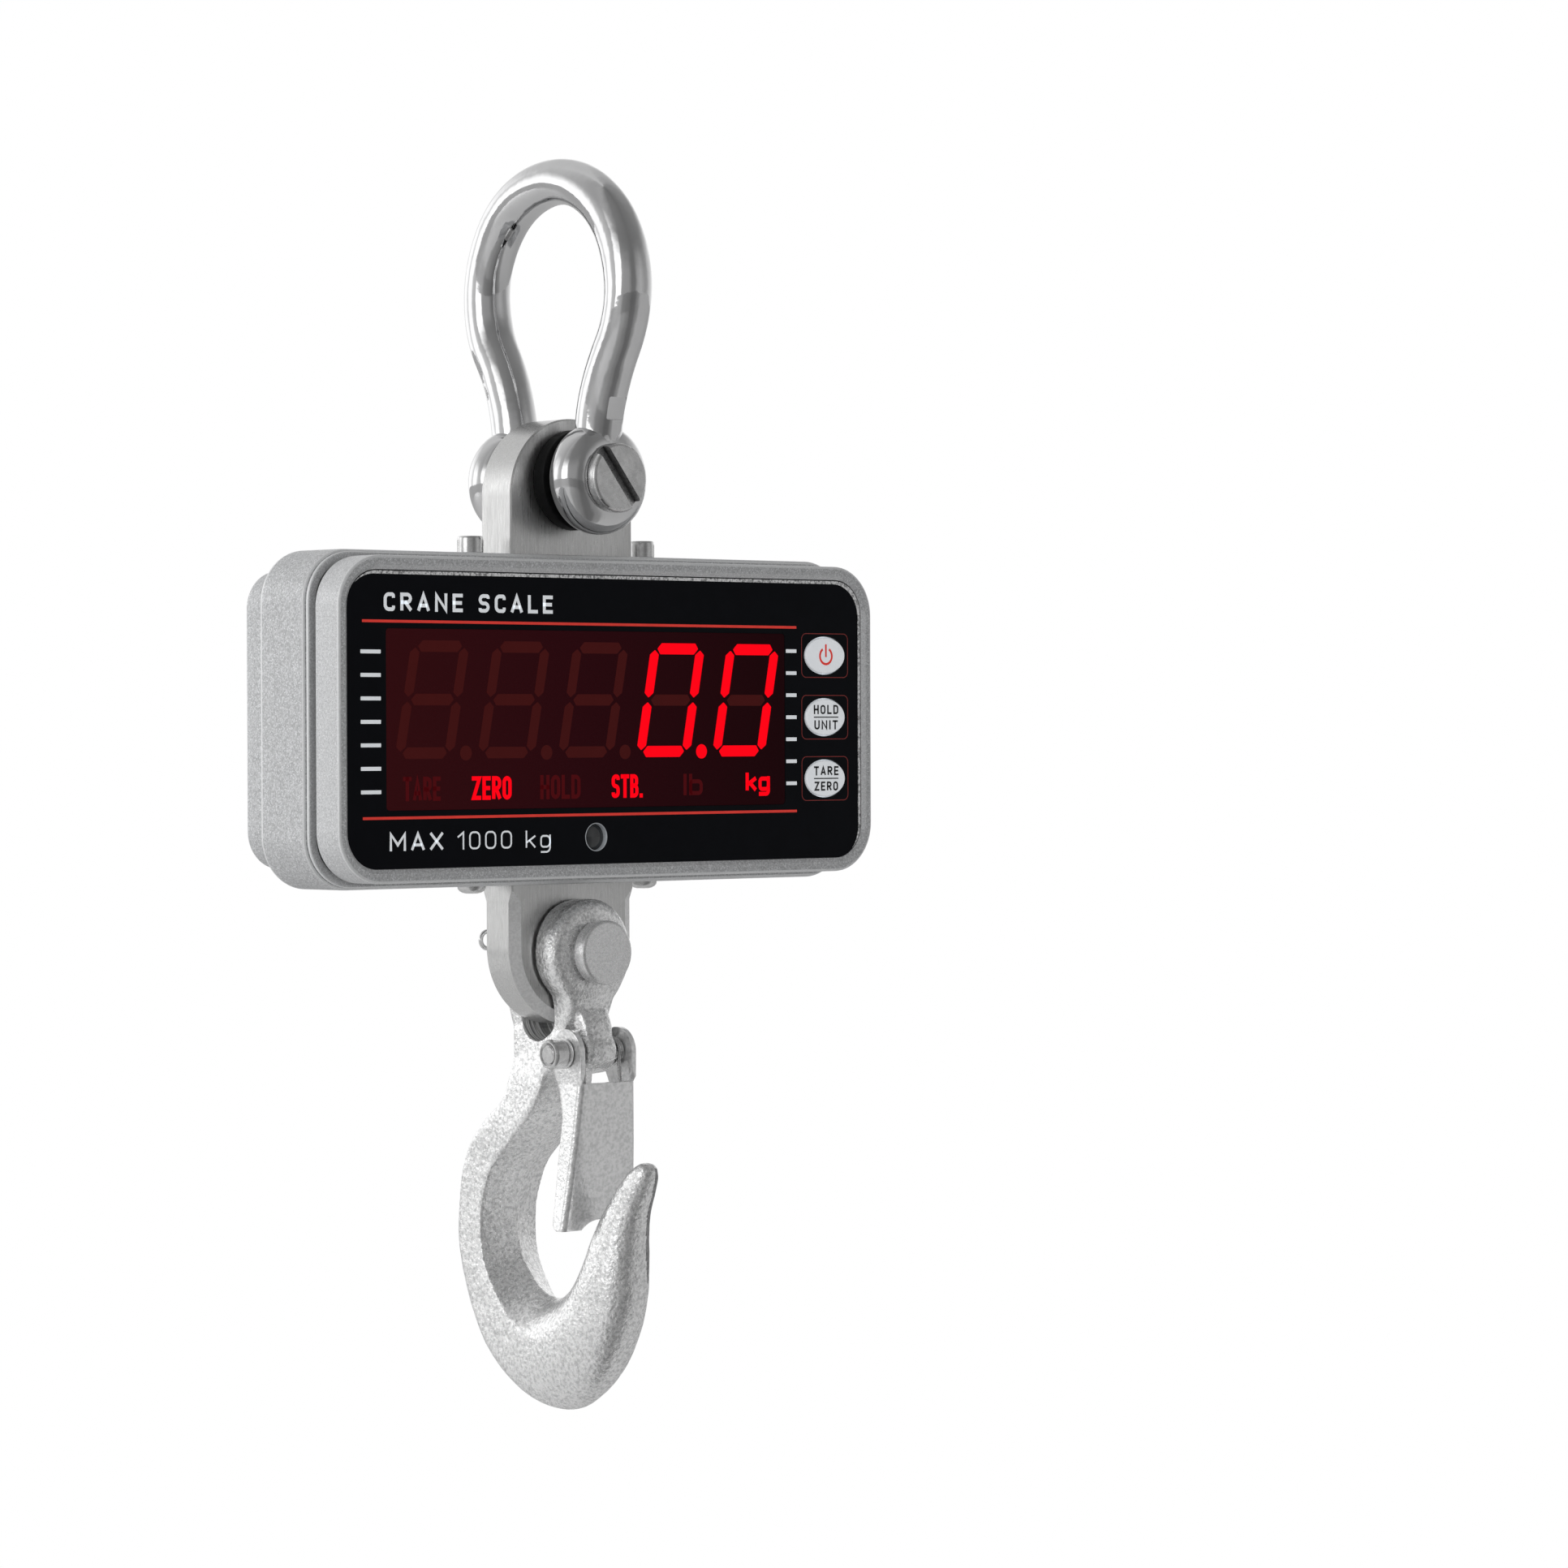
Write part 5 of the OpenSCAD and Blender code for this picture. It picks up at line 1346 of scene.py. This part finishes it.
    # torsion spring: two coils beside the lug; its legs lie on the latch
    coils = []
    for s in (1, -1):
        pts = []
        for i in range(61):
            t = i / 60.0
            a = math.radians(-100 + 640 * t)
            pts.append((s * (5.75 + 1.5 * t), y + 3.45 * math.cos(a), z + 3.45 * math.sin(a)))
        coils.append(tube("coil", pts, 0.52, 12))
    o = join("latch_spring_wound", coils)
    smooth(o, 50)
    put(o, "hook", "spring", ("latch_spring",))
    legs = []
    for s in (1, -1):
        pts = [(s * 6.2, y - 3.4, z - 0.8), (s * 6.2, y - 3.55, z - 4.0), (s * 6.3, y - 3.75, z - 8.0), (s * 6.4, y - 3.72, z - 12.5), (s * 5.8, y - 3.55, z - 15.6)]
        legs.append(tube("leg", pts, 0.5, 12))
    o = join("latch_spring_legs", legs)
    smooth(o, 50)
    put(o, "latch", "spring")


hook()


# ------------------------------------------------------------------ latch
def latch():
    by, bz = BOLT[0], -89.5
    R = 6.45
    r = 1.65

    def interp(tab, z):
        zs = [p[0] for p in tab][::-1]
        vs = [p[1] for p in tab][::-1]
        return float(np.interp(z, zs, vs))

    front = [(-89.5, -20.85), (-97.5, -20.75), (-113, -19.5), (-122, -18.5), (-137, -16.9)]
    rear = [(-89.5, by + R), (-92.3, -8.8), (-95, -9.7), (-100, -12.2), (-107, -13.9), (-113, -13.4), (-119, -12.9), (-128, -12.7), (-134.4, -12.5), (-135.5, -12.7), (-136.4, -13.3), (-137, -14.3)]
    width = [(-80, 9.65), (-97.5, 9.65), (-111, 10.6), (-124, 11.6), (-137, 13.0)]
    rows = []
    # cheeks, rounded about the bolt
    up = []
    for i in range(15):
        a = math.radians(88 - 88 * i / 14)
        up.append(bz + R * math.sin(a))
    zs_up = up + [-91.3, -93.0, -94.6, -96.1, -97.1]
    zs_dn = [-97.5, -98.3, -100, -103, -106.5, -110, -114, -118, -122, -126, -130, -133.0, -134.4, -135.5, -136.4, -137.0]
    nf, na, nw = 8, 6, 14
    verts, faces = [], []
    grid = []
    for z in zs_up + zs_dn:
        if z > bz:
            d = math.sqrt(max(R * R - (z - bz) ** 2, 0.0001))
            yf, yr = by - d, by + d
        else:
            yf, yr = interp(front, z), interp(rear, z)
        W = interp(width, z)
        bend = 0.0 if z > -96.3 else (0.45 if z > -97.3 else 1.0)
        # nested sheet edge: the web hollows slightly towards its end
        dish = 0.55 * min(1.0, max(0.0, (-118 - z) / 18.0))
        row = []
        def col(side):
            pts = []
            for i in range(nf):
                t = i / (nf - 1)
                pts.append((side * W, yr + (min(yf + r, yr) - yr) * t))
            for i in range(1, na + 1):
                a = math.radians(90.0 * i / na)
                bx, byy = W - r + r * math.cos(a), yf + r - r * math.sin(a)
                fx, fy = W, yf + r - r * i / na
                pts.append((side * (fx + (bx - fx) * bend), min(fy + (byy - fy) * bend, yr)))
            return pts
        L, Rr = col(-1), col(1)
        web = []
        for i in range(1, nw):
            t = i / nw
            x = -(W - r) + 2 * (W - r) * t
            web.append((x, yf + dish * math.sin(math.pi * t) ** 0.6))
        row = L + web + Rr[::-1]
        idx = []
        for x, y in row:
            idx.append(len(verts))
            verts.append((x, y, HZ + z))
        grid.append((z, idx))
    nl = nf + na
    total = len(grid[0][1])
    for (z0, a), (z1, b) in zip(grid[:-1], grid[1:]):
        for j in range(total - 1):
            is_web = nl - 1 <= j < total - nl
            if is_web and z0 > -97.5 + 1e-6:
                continue
            faces.append((a[j], a[j + 1], b[j + 1], b[j]))
    me = bpy.data.meshes.new("latch_plate_pressed")
    me.from_pydata([(v[0] * MM, v[1] * MM, v[2] * MM) for v in verts], [], faces)
    bm = bmesh.new()
    bm.from_mesh(me)
    loose = [v for v in bm.verts if not v.link_faces]
    bmesh.ops.delete(bm, geom=loose, context="VERTS")
    bmesh.ops.remove_doubles(bm, verts=bm.verts, dist=1e-6)
    bmesh.ops.recalc_face_normals(bm, faces=bm.faces)
    # normals outwards: the web's face looks to -Y
    s = sum(f.normal.y * f.calc_area() for f in bm.faces if f.calc_center_median().z < (HZ - 105) * MM and abs(f.calc_center_median().x) < 0.008)
    if s > 0:
        bmesh.ops.reverse_faces(bm, faces=bm.faces)
    bm.to_mesh(me)
    bm.free()
    o = bpy.data.objects.new("latch_plate_pressed", me)
    scene.collection.objects.link(o)
    m = o.modifiers.new("so", "SOLIDIFY")
    m.thickness = 1.5 * MM
    m.offset = -1.0
    m.use_even_offset = True
    m.use_rim = True
    bake(o)
    # relief notch in the free end, and the bolt holes
    notch = cyl("c", "y", 8.2, -24, -10, (0, HZ - 142.6), 64)
    holes = lathe("c", [(0, -20), (2.58, -20), (2.58, 20), (0, 20)], "x", (0, BOLT[0], BOLT[1]), 40)
    boolean(o, [notch, holes])
    bevel(o, 0.22, 2, 50, clean=False)
    smooth(o, 40, weighted=False)
    put(o, "latch", "latch", ("latch_plate",))


latch()


# ------------------------------------------------------------------ carried-over pieces inside and out
for node, mat in (("upper_seal", "rubber"), ("lower_seal", "rubber"), ("mounting_blocks", "screw"), ("strain_gauges", "gauge"),
                  ("ir_receiver", "plastic"), ("display_board", "board"), ("board_screws", "screw"), ("led_digits", "plastic"),
                  ("annunciator_block", "plastic"), ("key_switches", "plastic"), ("buzzer", "plastic"), ("battery_holder", "plastic"),
                  ("battery_cells", "cellwrap"), ("battery_contacts", "brass")):
    o = NODES[node]
    if len(o.data.materials) == 0:
        o.data.materials.append(M[mat])
    for i in range(len(o.data.materials)):
        o.data.materials[i] = M[mat]


# ------------------------------------------------------------------ studio
RING = [(-180, 1.1), (-150, 0.95), (-142, 1.4), (-122, 1.4), (-112, 0.85), (-104, 1.5), (-86, 1.5), (-78, 0.72), (-60, 0.62), (-55, 1.9), (-30, 1.9), (-24, 0.46),
        (-15, 0.40), (14, 0.36), (31, 0.20), (47, 0.20), (60, 0.40), (75, 0.50), (92, 0.36), (104, 0.40), (116, 0.62), (140, 0.85), (165, 1.1), (180, 1.1)]
FLOOR = [(-180, 0.86), (-70, 0.88), (-50, 0.97), (-28, 0.90), (-10, 0.50), (16, 0.38), (34, 0.26), (50, 0.28), (64, 0.5), (78, 0.92), (105, 0.92), (140, 0.8), (180, 0.86)]
HIGH = [(-180, 0.66), (-120, 0.70), (-66, 0.46), (-52, 0.5), (-34, 0.36), (-22, 0.26), (40, 0.20), (90, 0.24), (140, 0.34), (180, 0.66)]


def studio():
    w = bpy.data.worlds.new("studio")
    scene.world = w
    w.use_nodes = True
    nt = w.node_tree
    for n in list(nt.nodes):
        nt.nodes.remove(n)
    link = nt.links.new
    out = _n(nt, "ShaderNodeOutputWorld")
    tc = _n(nt, "ShaderNodeTexCoord")

    def dot(direction):
        vm = _n(nt, "ShaderNodeVectorMath", operation="DOT_PRODUCT")
        vm.inputs[1].default_value = Vector(direction).normalized()
        link(tc.outputs["Generated"], vm.inputs[0])
        return vm.outputs["Value"]

    # a ring of pale and grey cards round the object, by angle from the front left
    at = _n(nt, "ShaderNodeMath", operation="ARCTAN2")
    link(dot((0.7426, -0.6697, 0)), at.inputs[0])
    link(dot((-0.6697, -0.7426, 0)), at.inputs[1])
    mr = _n(nt, "ShaderNodeMapRange")
    mr.inputs["From Min"].default_value = -math.pi
    mr.inputs["From Max"].default_value = math.pi
    link(at.outputs[0], mr.inputs["Value"])

    def ramp(stops):
        cr = _n(nt, "ShaderNodeValToRGB")
        el = cr.color_ramp.elements
        for i, (deg, g) in enumerate(stops):
            p = (deg + 180.0) / 360.0
            e = el[i] if i < 2 else el.new(p)
            e.position = p
            e.color = (g, g, g, 1)
        link(mr.outputs[0], cr.inputs[0])
        return cr.outputs[0]

    level = ramp(RING)
    high = ramp(HIGH)
    sm = _n(nt, "ShaderNodeMapRange", interpolation_type="SMOOTHSTEP")
    sm.inputs["From Min"].default_value = 0.22
    sm.inputs["From Max"].default_value = 0.62
    link(dot((0, 0, 1)), sm.inputs["Value"])
    mx = _n(nt, "ShaderNodeMix", data_type="RGBA")
    link(sm.outputs[0], mx.inputs["Factor"])
    link(level, mx.inputs["A"])
    link(high, mx.inputs["B"])
    prev = mx.outputs["Result"]
    bg1 = _n(nt, "ShaderNodeBackground")
    link(prev, bg1.inputs["Color"])
    bg1.inputs["Strength"].default_value = 1.0
    bg2 = _n(nt, "ShaderNodeBackground")
    bg2.inputs["Color"].default_value = (1, 1, 1, 1)
    bg2.inputs["Strength"].default_value = 1.0
    lp = _n(nt, "ShaderNodeLightPath")
    ms = _n(nt, "ShaderNodeMixShader")
    link(lp.outputs["Is Camera Ray"], ms.inputs[0])
    link(bg1.outputs[0], ms.inputs[1])
    link(bg2.outputs[0], ms.inputs[2])
    link(ms.outputs[0], out.inputs["Surface"])

    def area(name, loc, target, sx, sy, power):
        l = bpy.data.lights.new(name, "AREA")
        l.shape = "RECTANGLE"
        l.size, l.size_y = sx, sy
        l.energy = power
        o = bpy.data.objects.new(name, l)
        scene.collection.objects.link(o)
        d = Vector(target) - Vector(loc)
        o.rotation_mode = "QUATERNION"
        o.rotation_quaternion = d.to_track_quat("-Z", "Y")
        o.location = loc
        o.visible_camera = False
        return o

    c = (0, 0, -0.16)
    k = area("key_left", (-1.6, 1.3, 0.25), c, 0.9, 1.5, 8.5)
    k.visible_glossy = False
    k = area("front_soft", (-1.5, -1.4, 0.5), c, 1.2, 1.2, 6.0)
    k.visible_glossy = False

    verts = [(-30, -30, -0.62), (30, -30, -0.62), (30, 30, -0.62), (-30, 30, -0.62)]
    fl = add("studio_floor", verts, [(0, 1, 2, 3)], mm=False)
    mf = material("pale_floor", (0.86, 0.86, 0.865), (0.89, 0.89, 0.893), 0.0, (0.6, 0.7), 3, 6, bumps=((60.0, 0.02, 0.0005),))
    nf = mf.node_tree
    fo = [n for n in nf.nodes if n.type == "OUTPUT_MATERIAL"][0]
    # its shade drifts with the angle round the piece, which only shows as soft reflections in the metal
    tcf = _n(nf, "ShaderNodeTexCoord")

    def dotf(direction):
        vm = _n(nf, "ShaderNodeVectorMath", operation="DOT_PRODUCT")
        vm.inputs[1].default_value = direction
        nf.links.new(tcf.outputs["Object"], vm.inputs[0])
        return vm.outputs["Value"]

    atf = _n(nf, "ShaderNodeMath", operation="ARCTAN2")
    nf.links.new(dotf((0.7426, -0.6697, 0)), atf.inputs[0])
    nf.links.new(dotf((-0.6697, -0.7426, 0)), atf.inputs[1])
    mrf = _n(nf, "ShaderNodeMapRange")
    mrf.inputs["From Min"].default_value = -math.pi
    mrf.inputs["From Max"].default_value = math.pi
    nf.links.new(atf.outputs[0], mrf.inputs["Value"])
    crf = _n(nf, "ShaderNodeValToRGB")
    crf.color_ramp.interpolation = "EASE"
    el = crf.color_ramp.elements
    for i, (deg, g) in enumerate(FLOOR):
        p = (deg + 180.0) / 360.0
        e = el[i] if i < 2 else el.new(p)
        e.position = p
        e.color = (g, g, g, 1)
    nf.links.new(mrf.outputs[0], crf.inputs[0])
    nf.links.new(crf.outputs[0], nf.nodes["Principled BSDF"].inputs["Base Color"])
    em = _n(nf, "ShaderNodeEmission")
    em.inputs["Strength"].default_value = 1.0
    lf = _n(nf, "ShaderNodeLightPath")
    mf2 = _n(nf, "ShaderNodeMixShader")
    nf.links.new(lf.outputs["Is Camera Ray"], mf2.inputs[0])
    nf.links.new(nf.nodes["Principled BSDF"].outputs[0], mf2.inputs[1])
    nf.links.new(em.outputs[0], mf2.inputs[2])
    nf.links.new(mf2.outputs[0], fo.inputs["Surface"])
    fl.data.materials.append(mf)
    scene.view_settings.view_transform = "Standard"
    scene.view_settings.look = "None"
    scene.view_settings.exposure = 0.0
    scene.view_settings.gamma = 1.0


studio()
